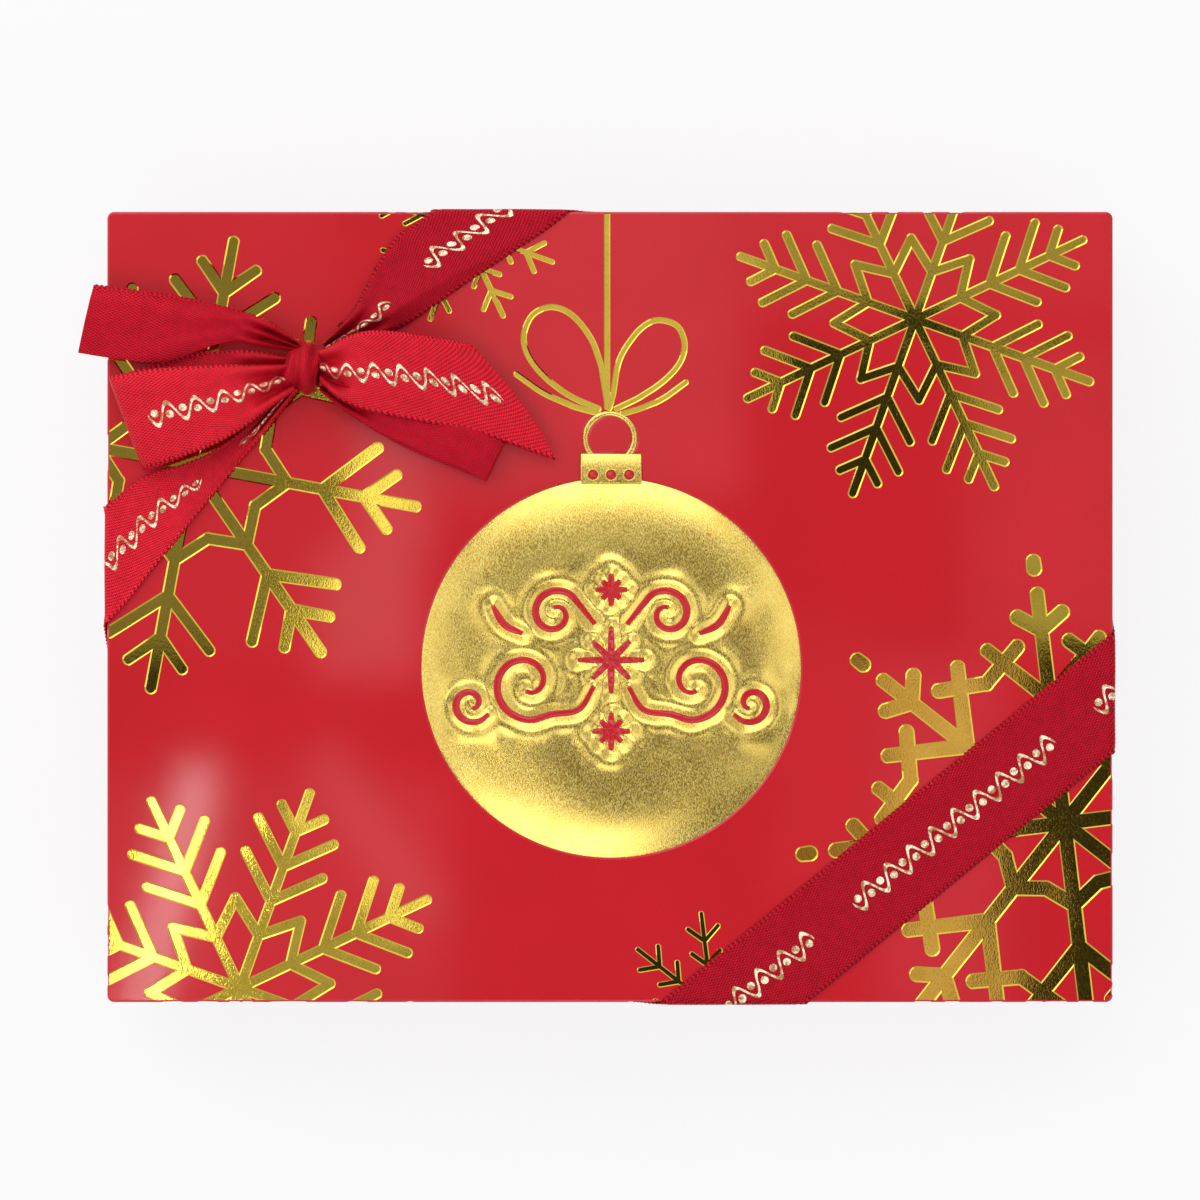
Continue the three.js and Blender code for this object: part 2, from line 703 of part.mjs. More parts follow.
// The stretch of a band from one edge of the lid, down the side, round the rim and up the inside
function ribbonLeg({ turn, half }, middle, slope, span) {
  const at = (depth) => middle + slope * depth;
  const outside = -half - RIBBON_LIFT;
  const inside = -half + WALL + GLUE;
  const below = LID_RIM - GLUE - RIBBON_SHEET;
  const start = -RIBBON_LIFT - RIBBON_SHEET;
  const rim = LID_TOP - below;
  const round = rim + inside + RIBBON_SHEET - outside;
  const sheet = (from, to, levelFrom, levelTo) => polygon([
    [at(from) - span / 2, levelFrom],
    [at(from) + span / 2, levelFrom],
    [at(to) + span / 2, levelTo],
    [at(to) - span / 2, levelTo],
  ]);
  const upright = (shape, y) => slab(shape, 0, RIBBON_SHEET).rotateX(Math.PI / 2).translate(0, y, 0);
  const down = upright(sheet(start, rim, LID_TOP - start, below), outside);
  const turned = sheet(rim, round, outside - RIBBON_SHEET, inside + RIBBON_SHEET);
  const under = slab(turned, below, below + RIBBON_SHEET);
  const top = LID_RIM + RIBBON_TAB;
  const up = upright(sheet(round, round + RIBBON_TAB, below, top), inside + RIBBON_SHEET);
  return joined([down, under, up]).rotate(0, 0, turn);
}

// A band cuts off a corner: along and across are the crossings' distances from it
function bandOf({ along, across }) {
  const angle = Math.atan2(across, along);
  return { slopeAlong: -1 / Math.tan(angle), spanAlong: RIBBON_WIDTH / Math.sin(angle),
    slopeAcross: Math.tan(angle), spanAcross: RIBBON_WIDTH / Math.cos(angle) };
}

const overEdge = RIBBON_LIFT + RIBBON_SHEET;

function addFrontRightBand() {
  const [front, right] = SIDES;
  const { along, across } = FRONT_RIGHT_CROSSING;
  const { slopeAlong, spanAlong, slopeAcross, spanAcross } = bandOf(FRONT_RIGHT_CROSSING);
  const x = LID_LENGTH / 2 - along;
  const y = across - LID_WIDTH / 2;
  const edgeX = LID_LENGTH / 2 + overEdge;
  const edgeY = LID_WIDTH / 2 + overEdge;
  const shiftX = slopeAlong * overEdge;
  const shiftY = slopeAcross * overEdge;
  const top = slab(polygon([
    [x + shiftX - spanAlong / 2, -edgeY],
    [x + shiftX + spanAlong / 2, -edgeY],
    [edgeX, y + shiftY - spanAcross / 2],
    [edgeX, y + shiftY + spanAcross / 2],
  ]), RIBBON_LEVEL, RIBBON_LEVEL + RIBBON_SHEET);
  const band = solidOf(top).add(ribbonLeg(front, x, slopeAlong, spanAlong));
  addPiece('ribbon_front_right', geometryOf(band.add(ribbonLeg(right, y, slopeAcross, spanAcross))), satin);
}

// A flat strip through stations of a left and a right point, with a thickness
function strip(stations, thickness) {
  const rings = stations.map(({ left, right }, i) => {
    const before = stations[Math.max(i - 1, 0)];
    const after = stations[Math.min(i + 1, stations.length - 1)];
    const along = after.left.clone().add(after.right).sub(before.left).sub(before.right);
    const normal = right.clone().sub(left).cross(along).setLength(thickness / 2);
    const upper = [left.clone().add(normal), right.clone().add(normal)];
    const lower = [right.clone().sub(normal), left.clone().sub(normal)];
    return [...upper, ...lower];
  });
  return loft(rings);
}

const knot = new THREE.Vector3(KNOT_X, KNOT_Y, RIBBON_LEVEL);

// How far the knot reaches from its middle towards a bearing
function knotReach(degrees) {
  const [x, y] = polar(1, degrees - KNOT_TURN);
  return 1 / Math.hypot(x / (KNOT_LENGTH / 2), y / (KNOT_WIDTH / 2));
}

function bearing(degrees) {
  const [x, y] = polar(1, degrees);
  return new THREE.Vector3(x, y, 0);
}

// From the knot, gathered, to the lid's edge, where the band is at its full width
function gatheredBand(name, side, edgeMiddle, middle, slope, span) {
  const rise = RIBBON_SHEET / 2;
  const away = edgeMiddle.clone().sub(knot).setZ(0).normalize();
  const degrees = THREE.MathUtils.radToDeg(Math.atan2(away.y, away.x));
  const across = new THREE.Vector3(-away.y, away.x, 0).multiplyScalar(GATHER_WIDTH / 2);
  const start = knot.clone().addScaledVector(away, knotReach(degrees) + BOW_GAP).setZ(RIBBON_LEVEL + rise);
  const edge = bearing(side.turn).multiplyScalar(span / 2);
  const out = bearing(side.turn - 90).multiplyScalar(overEdge);
  const end = edgeMiddle.clone().add(out).addScaledVector(edge, 2 * slope * overEdge / span);
  end.setZ(RIBBON_LEVEL + rise);
  const stations = [];
  for (let i = 0; i <= STRIP_STEPS; i += 1) {
    const t = i / STRIP_STEPS;
    const widen = THREE.MathUtils.smoothstep(t, 0, BAND_OPENS);
    const middleAt = start.clone().lerp(end, t);
    const half = across.clone().lerp(edge.clone().negate(), widen);
    stations.push({ left: middleAt.clone().add(half), right: middleAt.clone().sub(half) });
  }
  const band = solidOf(strip(stations, RIBBON_SHEET)).add(ribbonLeg(side, middle, slope, span));
  addPiece(name, geometryOf(band), satin);
}

function addBackLeftBands() {
  const [, , back, left] = SIDES;
  const { along, across } = BACK_LEFT_CROSSING;
  const { slopeAlong, spanAlong, slopeAcross, spanAcross } = bandOf(BACK_LEFT_CROSSING);
  const x = along - LID_LENGTH / 2;
  const y = LID_WIDTH / 2 - across;
  const backEdge = new THREE.Vector3(x, LID_WIDTH / 2, RIBBON_LEVEL);
  const leftEdge = new THREE.Vector3(-LID_LENGTH / 2, y, RIBBON_LEVEL);
  gatheredBand('ribbon_back', back, backEdge, -x, slopeAlong, spanAlong);
  gatheredBand('ribbon_left', left, leftEdge, -y, slopeAcross, spanAcross);
}

// Bow

function addKnot() {
  const shape = new THREE.Shape();
  shape.absellipse(0, 0, KNOT_LENGTH / 2, KNOT_WIDTH / 2, 0, 2 * Math.PI);
  const options = { bevelThickness: KNOT_EDGE, bevelSize: KNOT_EDGE, bevelOffset: -KNOT_EDGE };
  const rest = { depth: KNOT_HEIGHT - 2 * KNOT_EDGE, bevelSegments: 3, curveSegments: 10 };
  const piece = addPiece('bow_knot', new THREE.ExtrudeGeometry(shape, { ...options, ...rest }), satin);
  piece.position.copy(knot).setZ(RIBBON_LEVEL + BOW_GAP + KNOT_EDGE);
  piece.rotation.z = THREE.MathUtils.degToRad(KNOT_TURN);
}

// The straight run of a loop or a tail, from the knot's edge to its far end
function bowRun({ from, turn, reach: far }) {
  const start = knot.clone().addScaledVector(bearing(from), knotReach(from) + BOW_GAP);
  const run = knot.clone().addScaledVector(bearing(turn), far).sub(start);
  const heading = THREE.MathUtils.radToDeg(Math.atan2(run.y, run.x));
  const turnIn = THREE.MathUtils.euclideanModulo(from - heading + 180, 360) - 180;
  return { start, heading, turnIn, length: run.length() };
}

// A strip of ribbon along a run: route lists how far out and how high it goes
function bowStrip(name, route, { start, heading, turnIn }, { open: full, skew, spread }) {
  const points = route.map(([out, rise]) => new THREE.Vector3(out, 0, rise));
  const curve = new THREE.CatmullRomCurve3(points, false, 'centripetal');
  const stations = curve.getSpacedPoints(STRIP_STEPS).map(({ x, z }) => {
    const open = THREE.MathUtils.smoothstep(x, 0, full);
    const half = THREE.MathUtils.lerp(GATHER_WIDTH, spread * RIBBON_WIDTH, open) / 2;
    const lean = THREE.MathUtils.lerp(turnIn, skew, open);
    const across = bearing(heading + 90 + lean).multiplyScalar(half);
    const middle = start.clone().addScaledVector(bearing(heading), x);
    middle.z = RIBBON_LEVEL + RIBBON_SHEET + z;
    return { left: middle.clone().add(across), right: middle.clone().sub(across) };
  });
  addPiece(name, strip(stations, RIBBON_SHEET), satin);
}

// A loop runs out low, folds over at its end and comes back high
function addLoop(name, loop) {
  const { low, high } = loop;
  const run = bowRun(loop);
  const middle = (low + high) / 2;
  const route = [
    [0, middle - LOOP_MOUTH / 2],
    [run.length / 2, low],
    [run.length - LOOP_FOLD, low],
    [run.length, middle],
    [run.length - LOOP_FOLD, high],
    [run.length / 2, high],
    [0, middle + LOOP_MOUTH / 2],
  ];
  bowStrip(name, route, run, loop);
}

function addTail(name, tail) {
  const run = bowRun(tail);
  const route = [
    [0, tail.knotRise],
    [run.length / 2, tail.middleRise],
    [run.length, tail.endRise],
  ];
  bowStrip(name, route, run, tail);
}

addBase();
addLid();
addPad();
addTray();
addPralines();
addFlakes();
addBauble();
addBaubleBow();
addFrontRightBand();
addBackLeftBands();
addKnot();
addLoop('bow_loop_left', LOOP_LEFT);
addLoop('bow_loop_right', LOOP_RIGHT);
addTail('bow_tail_left', TAIL_LEFT);
addTail('bow_tail_right', TAIL_RIGHT);

export default box;
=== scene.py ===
# %% [markdown]
# # A gift box of pralines
# The box is a board tray with a lift-off lid, both covered in red paper. The lid carries hot-stamped
# gold snowflakes and an embossed bauble, and a satin ribbon with a bow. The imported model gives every
# piece its size and place. This lesson dresses it, one piece at a time, in the same frame and in metres.

# %% Load the frame
import math

import bmesh
import bpy
from mathutils import Matrix, Vector, kdtree, noise
from mathutils.geometry import delaunay_2d_cdt


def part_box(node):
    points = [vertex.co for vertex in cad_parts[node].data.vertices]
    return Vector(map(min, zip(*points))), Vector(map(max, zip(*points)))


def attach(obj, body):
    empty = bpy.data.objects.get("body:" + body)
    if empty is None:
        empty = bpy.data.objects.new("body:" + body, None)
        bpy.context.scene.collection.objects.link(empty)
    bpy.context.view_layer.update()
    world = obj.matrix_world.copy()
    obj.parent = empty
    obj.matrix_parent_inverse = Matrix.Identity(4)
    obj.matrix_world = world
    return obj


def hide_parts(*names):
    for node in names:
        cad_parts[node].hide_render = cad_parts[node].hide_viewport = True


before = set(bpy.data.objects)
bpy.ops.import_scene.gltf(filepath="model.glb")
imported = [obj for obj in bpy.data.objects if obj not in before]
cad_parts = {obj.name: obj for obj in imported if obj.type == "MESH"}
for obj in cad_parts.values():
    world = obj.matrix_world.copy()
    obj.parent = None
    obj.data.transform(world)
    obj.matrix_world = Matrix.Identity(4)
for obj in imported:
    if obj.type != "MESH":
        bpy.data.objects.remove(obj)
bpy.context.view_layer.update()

MM = 0.001

# %% [markdown]
# ## Sizes
# The wraps, the knot, the pad, the tray's depth and the places of the pralines are measured from the solids.
# The lines of the print and of the ribbon, and what the solids don't show, such as the depth of a stamped
# line, are values of their own.

# %% Measure the lid and the base
LID_LOW, LID_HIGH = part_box("lid_wrap")
BASE_LOW, BASE_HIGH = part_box("base_wrap")
LID_TOP = LID_HIGH.z
LID_RIM = LID_LOW.z
HALF_X = LID_HIGH.x
HALF_Y = LID_HIGH.y
PAPER = 0.3 * MM
WALL = 2.3 * MM
CORNER_ROUND = 1.2 * MM
EDGE_ROUND = 0.42 * MM
EDGE_STEPS = 6
CORNER_STEPS = 8
print(f"Lid {2 * HALF_X / MM:.1f} x {2 * HALF_Y / MM:.1f} mm, top at {LID_TOP / MM:.1f} mm")


# %% [markdown]
# ## Small tools
# A bmesh becomes a piece in one place: it gets its finish, its smooth shading and the body that it rides
# on. The object stays at the origin and keeps its place in its mesh, as the solids do. The other tools find
# parts of a bmesh and do the moves that most pieces need.

# %% From a bmesh to a piece
SHARP = math.radians(20)


def show(name, data):
    """Puts a mesh, a lamp or a camera into the scene."""
    holder = bpy.data.objects.new(name, data)
    bpy.context.scene.collection.objects.link(holder)
    return holder


def mesh_from(bm, name, looks=()):
    mesh = bpy.data.meshes.new(name)
    bm.to_mesh(mesh)
    bm.free()
    for look in looks:
        mesh.materials.append(look)
    return mesh


def piece_from(bm, name, looks, body, stands_for=(), sharp=SHARP):
    mesh = mesh_from(bm, name, looks)
    mesh.shade_smooth()
    mesh.set_sharp_from_angle(angle=sharp)
    piece = show(name, mesh)
    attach(piece, body)
    if stands_for:
        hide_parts(*stands_for)
    return piece


# %% Finding parts of a bmesh
TOUCHING = 1e-6
MERGE = 1e-7
TINY = 1e-12


def edges_of(verts):
    return list(dict.fromkeys(edge for vert in verts for edge in vert.link_edges))


def parts_of(faces):
    """The faces with their edges and vertices, as the operators want them."""
    return [*dict.fromkeys(part for face in faces for part in (*face.verts, *face.edges)), *faces]


def open_edges(bm):
    return [edge for edge in bm.edges if edge.is_boundary]


def edges_at(bm, level):
    return [e for e in bm.edges if all(abs(v.co.z - level) < TOUCHING for v in e.verts)]


def made_of(made, kind):
    """The vertices, edges or faces among what an operator made."""
    return [part for part in made["geom"] if isinstance(part, kind)]


# %% Moves that come back often
def up(height):
    return Vector((0, 0, height))


def polar(radius, degrees):
    return Vector((radius * math.cos(math.radians(degrees)), radius * math.sin(math.radians(degrees)), 0))


def smoothstep(low, high, value):
    t = min(max((value - low) / (high - low), 0), 1)
    return t * t * (3 - 2 * t)


def shift(bm, by, verts):
    bmesh.ops.translate(bm, vec=by, verts=verts)


def face_out(bm):
    bmesh.ops.recalc_face_normals(bm, faces=bm.faces)


def face_up(bm):
    bm.normal_update()
    bmesh.ops.reverse_faces(bm, faces=[face for face in bm.faces if face.normal.z < 0])


def round_off(bm, parts, radius, steps, affect="EDGES"):
    bmesh.ops.bevel(bm, geom=parts, offset=radius, affect=affect, segments=steps, profile=0.5, material=-1)


def add_block(bm, low, high):
    verts = bmesh.ops.create_cube(bm, size=1)["verts"]
    bmesh.ops.scale(bm, vec=high - low, verts=verts)
    shift(bm, (low + high) / 2, verts)
    return verts


def spin_line(bm, points, steps, middle=(0, 0, 0)):
    """Spins a line of points all the way round the upright through middle."""
    verts = [bm.verts.new(point) for point in points]
    edges = [bm.edges.new(pair) for pair in zip(verts, verts[1:])]
    bmesh.ops.spin(bm, geom=verts + edges, axis=up(1), cent=middle, dvec=up(0), angle=2 * math.pi,
                   steps=steps, use_merge=True)


def extrude_rim(bm, rim):
    """Extrudes open edges, and returns the new vertices and the new edges."""
    made = bmesh.ops.extrude_edge_only(bm, edges=rim)
    return made_of(made, bmesh.types.BMVert), made_of(made, bmesh.types.BMEdge)


def extrude_faces(bm, faces, by, keep=True):
    """Extrudes faces, and returns the new vertices and faces. keep leaves the old faces in their place."""
    made = bmesh.ops.extrude_face_region(bm, geom=faces, use_keep_orig=keep)
    if not keep:
        bmesh.ops.delete(bm, geom=faces, context="FACES_ONLY")
    verts = made_of(made, bmesh.types.BMVert)
    shift(bm, by, verts)
    return verts, made_of(made, bmesh.types.BMFace)


# %% A flowing line through a few points
def flowing(points, steps):
    """Points along a Catmull-Rom curve, steps for each stretch between two of the given points."""
    points = [Vector(point) for point in points]
    first = 2 * points[0] - points[1]
    last = 2 * points[-1] - points[-2]
    guide = [first, *points, last]
    line = []
    for i in range(len(points) - 1):
        a, b, c, d = guide[i:i + 4]
        for step in range(steps):
            t = step / steps
            line.append(0.5 * (2 * b + (c - a) * t + (2 * a - 5 * b + 4 * c - d) * t * t
                               + (3 * b - a - 3 * c + d) * t ** 3))
    return [*line, points[-1]]


def spaced(line, count):
    """count + 1 points at equal distances along a line."""
    marks = [0]
    for before, after in zip(line, line[1:]):
        marks.append(marks[-1] + (after - before).length)
    even = []
    place = 0
    for i in range(count + 1):
        want = marks[-1] * i / count
        while place < len(line) - 2 and marks[place + 1] < want:
            place += 1
        span = max(marks[place + 1] - marks[place], TINY)
        even.append(line[place].lerp(line[place + 1], min((want - marks[place]) / span, 1)))
    return even, marks[-1]


# %% [markdown]
# ## Finishes
# Each finish is one Principled shader with noise and waves in front of it. A value that is the same all
# over is set on the shader itself. What varies is a node: the mottle of paper, the grain of foil, the
# weave of ribbon, and the painted reflections, glints and thread shading on foil and ribbon. A short helper
# adds a node, fills its inputs and hands back its output as a wire. Wires can be added and multiplied, so
# that a finish reads like a short sum.

# %% Node helpers
def srgb(red, green, blue):
    """A colour written as 0 to 255 on a screen, as the linear values that a shader takes."""
    parts = [value / 255 for value in (red, green, blue)]
    linear = [part / 12.92 if part <= 0.04045 else ((part + 0.055) / 1.055) ** 2.4 for part in parts]
    return (*linear, 1)


class Wire:
    """An output in a node tree. Sums and products of wires become Math nodes."""

    def __init__(self, socket):
        self.socket = socket
        self.tree = socket.id_data

    def math(self, operation, other=0.0):
        return add_node(self.tree, "Math", {0: self, 1: other}, operation=operation)

    def __add__(self, other):
        return self.math("ADD", other)

    def __sub__(self, other):
        return self.math("SUBTRACT", other)

    def __mul__(self, other):
        return self.math("MULTIPLY", other)

    def __mod__(self, other):
        return self.math("FLOORED_MODULO", other)

    def __abs__(self):
        return self.math("ABSOLUTE")


def connect(socket, value):
    """Links a wire to a socket, or sets a plain value on it."""
    if isinstance(value, Wire):
        value.tree.links.new(value.socket, socket)
    else:
        socket.default_value = value


def add_node(tree, kind, inputs=None, output=0, **settings):
    """Adds a node, fills its inputs and returns one of its outputs."""
    node = tree.nodes.new("ShaderNode" + kind)
    for name, value in settings.items():
        setattr(node, name, value)
    for socket, value in (inputs or {}).items():
        connect(node.inputs[socket], value)
    return Wire(node.outputs[output])


# %% What finishes are made of
def coordinates(tree, kind="Object"):
    return add_node(tree, "TexCoord", output=kind)


def use(material, **values):
    """Fills sockets of a finish's shader. They are written with _ for a space."""
    shader = material.node_tree.nodes["Principled BSDF"]
    for socket, value in values.items():
        connect(shader.inputs[socket.replace("_", " ")], value)


def new_finish(name, **values):
    """A material with these values on its shader, and the coordinates for its noise."""
    material = bpy.data.materials.new(name)
    material.use_nodes = True
    use(material, **values)
    return material, coordinates(material.node_tree)


def speckle(place, scale, detail=2, roughness=0.5):
    inputs = {"Vector": place, "Scale": scale, "Detail": detail, "Roughness": roughness}
    return add_node(place.tree, "TexNoise", inputs, "Fac")


def remap(value, low, high, to_low=0, to_high=1):
    inputs = {"Value": value, "From Min": low, "From Max": high, "To Min": to_low, "To Max": to_high}
    return add_node(value.tree, "MapRange", inputs, "Result")


def blend_colours(factor, first, second):
    return add_node(factor.tree, "Mix", {0: factor, 6: first, 7: second}, 2, data_type="RGBA")


def raise_bumps(height, distance, strength=1.0, over=None):
    inputs = {"Height": height, "Distance": distance, "Strength": strength}
    if over:
        inputs["Normal"] = over
    return add_node(height.tree, "Bump", inputs)


# %% [markdown]
# ### Red paper
# The wrap is a printed red paper under a glossy film. Close up it has a faint mottle and a fine tooth
# that breaks up its glare.

# %% Red paper
red_paper, place = new_finish("red paper", Coat_Weight=0.7, Coat_Roughness=0.055, Specular_IOR_Level=0.2)
fibres = speckle(place, 2600, 3, 0.65)
mottle = remap((fibres + speckle(place, 45, 3)) * 0.5, 0.3, 0.7)
tooth = raise_bumps(speckle(place, 5200), 0.02 * MM, 0.08)
swell = raise_bumps(speckle(place, 38, 1), 0.25 * MM, 0.5, tooth)
use(red_paper, Base_Color=blend_colours(mottle, srgb(184, 5, 22), srgb(200, 12, 32)), Normal=swell,
    Coat_Normal=tooth, Roughness=remap(fibres, 0.3, 0.7, 0.36, 0.5))
print("Made", red_paper.name)

# %% [markdown]
# ### Gold foil
# Stamped foil is nearly a mirror: it is dark where it sees a dark ceiling and yellow where it sees a
# light. It has a faint grain, and it bends a little with the board, which moves its reflections. Its colour
# is mottled between a dark and a bright gold: broad blotches of painted reflection, and fine specks of
# painted glints that follow the grain. On the bauble the foil is pressed over a grained die, so the same
# gold there is rougher and sparkles, partly from its grained bump and partly from more painted glints.

# %% Gold foil
def make_gold(name, dark, bright, grain_scale, grain_height, roughness, swell_height, painted_glints):
    material, place = new_finish(name, Metallic=1.0)
    lay = add_node(place.tree, "Mapping", {"Vector": place, "Rotation": (0, 0, 0.8), "Scale": (1, 0.55, 1)})
    grain = speckle(lay, grain_scale, 1.5, 0.6)
    # The base colour mixes the grain's fine specks, painted glints, with broad blotches, painted reflections,
    # by the share in the last argument.
    shown = remap(grain, 0.36, 0.64) * painted_glints + speckle(place, 160, 3) * (1 - painted_glints)
    swell = raise_bumps(speckle(place, 55, 1), swell_height, 1.0, raise_bumps(grain, grain_height))
    use(material, Base_Color=blend_colours(shown, dark, bright), Normal=swell,
        Roughness=remap(grain, 0.35, 0.65, *roughness))
    return material


# The last number of each is the share of painted glints in the mottled colour.
gold_foil = make_gold("gold foil", srgb(214, 179, 60), srgb(253, 225, 94), 4200, 0.004 * MM,
                      (0.035, 0.07), 0.14 * MM, 0.3)
embossed_gold = make_gold("embossed gold", srgb(204, 158, 52), srgb(255, 235, 136), 4600, 0.008 * MM,
                          (0.2, 0.3), 0.12 * MM, 0.54)
print("Made", gold_foil.name, "and", embossed_gold.name)

# %% [markdown]
# ### Satin ribbon
# The ribbon is woven: fine threads cross at right angles and float over each other in slanting rows. The
# strips carry a UV map in metres, with U along the ribbon and V across it, so the weave turns with every
# fold. A pale gold garland runs down the middle of the printed side: a wavy stem with a dot in each bend.
# The weave and the beads of the selvage are painted into the colour as shade and light, painted shading of
# the threads and beads, and the garland's gold is mottled with painted gleam. The bow's pieces and the
# left band take lighter copies of the satin: painted sheen.

# %% Satin ribbon
RIBBON_WIDTH = 16 * MM
THREAD_PITCH = 0.5 * MM
SATIN_METAL = 0.35
SELVAGE = 0.62 * MM
BEAD = 0.86 * MM
GARLAND_PITCH = 54 * MM
GARLAND_LENGTH = 45 * MM
GARLAND_WAVE = 5 * MM
GARLAND_SWING = 1.8 * MM
GARLAND_LINE = 0.42 * MM
GARLAND_DOT = 0.68 * MM
DOT_INSET = 0.2 * GARLAND_SWING


def garland(along, across):
    """1 on the printed garland and 0 beside it."""
    at = along % GARLAND_PITCH
    off_middle = across - RIBBON_WIDTH / 2
    stem = (at * (2 * math.pi / GARLAND_WAVE)).math("SINE") * GARLAND_SWING
    on_stem = abs(off_middle - stem).math("LESS_THAN", GARLAND_LINE)
    dot_x = at % (GARLAND_WAVE / 2) - GARLAND_WAVE / 4
    dot_y = off_middle + stem.math("SIGN") * DOT_INSET
    on_dot = (dot_x * dot_x + dot_y * dot_y).math("SQRT").math("LESS_THAN", GARLAND_DOT)
    return on_stem.math("MAXIMUM", on_dot) * at.math("LESS_THAN", GARLAND_LENGTH)


def make_satin(name, shade, light, printed):
    material, place = new_finish(name, Specular_Tint=srgb(255, 110, 110), Specular_IOR_Level=0.8,
                                 Metallic=SATIN_METAL, Sheen_Weight=0.03, Sheen_Tint=srgb(255, 80, 80))
    strip = coordinates(place.tree, "UV")
    along, across = (add_node(place.tree, "SeparateXYZ", {0: strip}, axis) for axis in "XY")
    turn = 2 * math.pi / THREAD_PITCH
    weft = ((along * 0.5 + across) * turn).math("SINE")
    weave = (along * turn).math("SINE") * weft + weft * 0.6
    bead = (along * (2 * math.pi / BEAD)).math("SINE")
    at_edge = abs(across - RIBBON_WIDTH / 2).math("GREATER_THAN", RIBBON_WIDTH / 2 - SELVAGE)
    threads = remap(weave, -1.3, 1.3, -0.35, 0.95)
    # The colour runs from shade to light with the weave and the selvage's beads, painted shading of the
    # threads and beads, over a random mottle.
    colour = blend_colours(speckle(place, 700, 3) * 0.4 + threads + bead * at_edge * 0.5, shade, light)
    if printed:
        mask = garland(along, across)
        # The print's gold is mottled dark and pale: painted gleam of a metallic ink.
        painted_gleam = remap(speckle(place, 1100), 0.4, 0.6)
        print_colour = blend_colours(painted_gleam, srgb(168, 132, 88), srgb(252, 240, 208))
        colour = blend_colours(mask, colour, print_colour)
        use(material, Metallic=remap(mask, 0, 1, SATIN_METAL, 0.8))
    use(material, Base_Color=colour, Normal=raise_bumps(weave, 0.04 * MM, 0.8),
        Roughness=remap(weave, -1, 1, 0.38, 0.27))
    return material


satin = make_satin("satin ribbon", srgb(94, 0, 14), srgb(204, 12, 40), True)
# A lighter copy of the band's printed satin: painted sheen on pieces that tilt towards the light.
sheen_satin = make_satin("satin with painted sheen", srgb(132, 5, 22), srgb(250, 38, 60), True)
# The unprinted back of the ribbon, also lighter than the band's satin: painted sheen on the bow.
plain_sheen_satin = make_satin("satin ribbon back with painted sheen", srgb(110, 2, 18), srgb(226, 20, 48), False)
print("Made", [look.name for look in (satin, sheen_satin, plain_sheen_satin)])

# %% [markdown]
# ### Board, liner, pad and tray
# The inside is plainer: grey board made of pressed waste paper, white liner paper, an embossed white pad,
# and a thin formed tray of brown film.

# %% Board, liner, pad and tray
def make_fibrous(name, dark, light, scale, tooth, roughness):
    material, place = new_finish(name, Specular_IOR_Level=0.3)
    fibres = speckle(place, scale, 6, 0.7)
    mixed = remap(speckle(place, scale / 6) * 0.4 + fibres * 0.6, 0.32, 0.68)
    use(material, Base_Color=blend_colours(mixed, dark, light), Normal=raise_bumps(fibres, tooth),
        Roughness=remap(fibres, 0.3, 0.7, roughness - 0.08, roughness + 0.08))
    return material


grey_board = make_fibrous("grey board", srgb(120, 112, 102), srgb(160, 152, 140), 1800, 0.06 * MM, 0.88)
liner_paper = make_fibrous("liner paper", srgb(232, 226, 214), srgb(246, 242, 233), 1500, 0.03 * MM, 0.75)
pad_paper = make_fibrous("pad paper", srgb(236, 228, 212), srgb(248, 243, 232), 1300, 0.04 * MM, 0.7)

tray_film, place = new_finish("tray film", Coat_Weight=0.4, Coat_Roughness=0.12)
haze = speckle(place, 120, 3)
use(tray_film, Base_Color=blend_colours(haze, srgb(62, 33, 20), srgb(84, 48, 30)),
    Normal=raise_bumps(speckle(place, 1900), 0.015 * MM), Roughness=remap(haze, 0.3, 0.7, 0.24, 0.38))
print("Made", [look.name for look in (grey_board, liner_paper, pad_paper, tray_film)])

# %% [markdown]
# ### Chocolate
# Tempered chocolate has a soft gloss, a cloudy tone and small ripples from the mould or the dipping fork.

# %% Chocolate and nuts
def make_chocolate(name, dark, light, roughness, scatter):
    material, place = new_finish(name, Subsurface_Weight=scatter, Subsurface_Scale=0.6 * MM,
                                 Coat_Weight=0.2, Coat_Roughness=0.2)
    cloud = speckle(place, 260, 4)
    pores = raise_bumps(speckle(place, 2400, 3), 0.02 * MM)
    use(material, Base_Color=blend_colours(remap(cloud, 0.3, 0.7), dark, light),
        Normal=raise_bumps(speckle(place, 520), 0.12 * MM, 0.5, pores),
        Roughness=remap(cloud, 0.3, 0.7, roughness - 0.06, roughness + 0.08))
    return material


CHOCOLATES = {
    "dark": make_chocolate("dark chocolate", srgb(40, 19, 12), srgb(62, 31, 19), 0.3, 0.05),
    "milk": make_chocolate("milk chocolate", srgb(98, 54, 31), srgb(128, 74, 44), 0.34, 0.1),
    "white": make_chocolate("white chocolate", srgb(230, 208, 164), srgb(243, 227, 190), 0.36, 0.2),
}
nut = make_chocolate("roasted nut", srgb(150, 92, 46), srgb(196, 138, 80), 0.55, 0.1)
print("Made", [look.name for look in (*CHOCOLATES.values(), nut)])

# %% [markdown]
# ## The lid's paper
# A cover maker glues the paper to the board, folds it over the four edges and turns it in under the rim.
# So the wrap is one thin sheet. It starts as a block, its edges are bevelled to a paper fold's radius, its
# underside is taken off, and its rim is extruded inwards and up. Solidify then gives the sheet its body.

# %% Wrap a box in paper
TURN_IN = 14 * MM
RIM_FOLD = 0.3 * MM
RIM_STEPS = 3


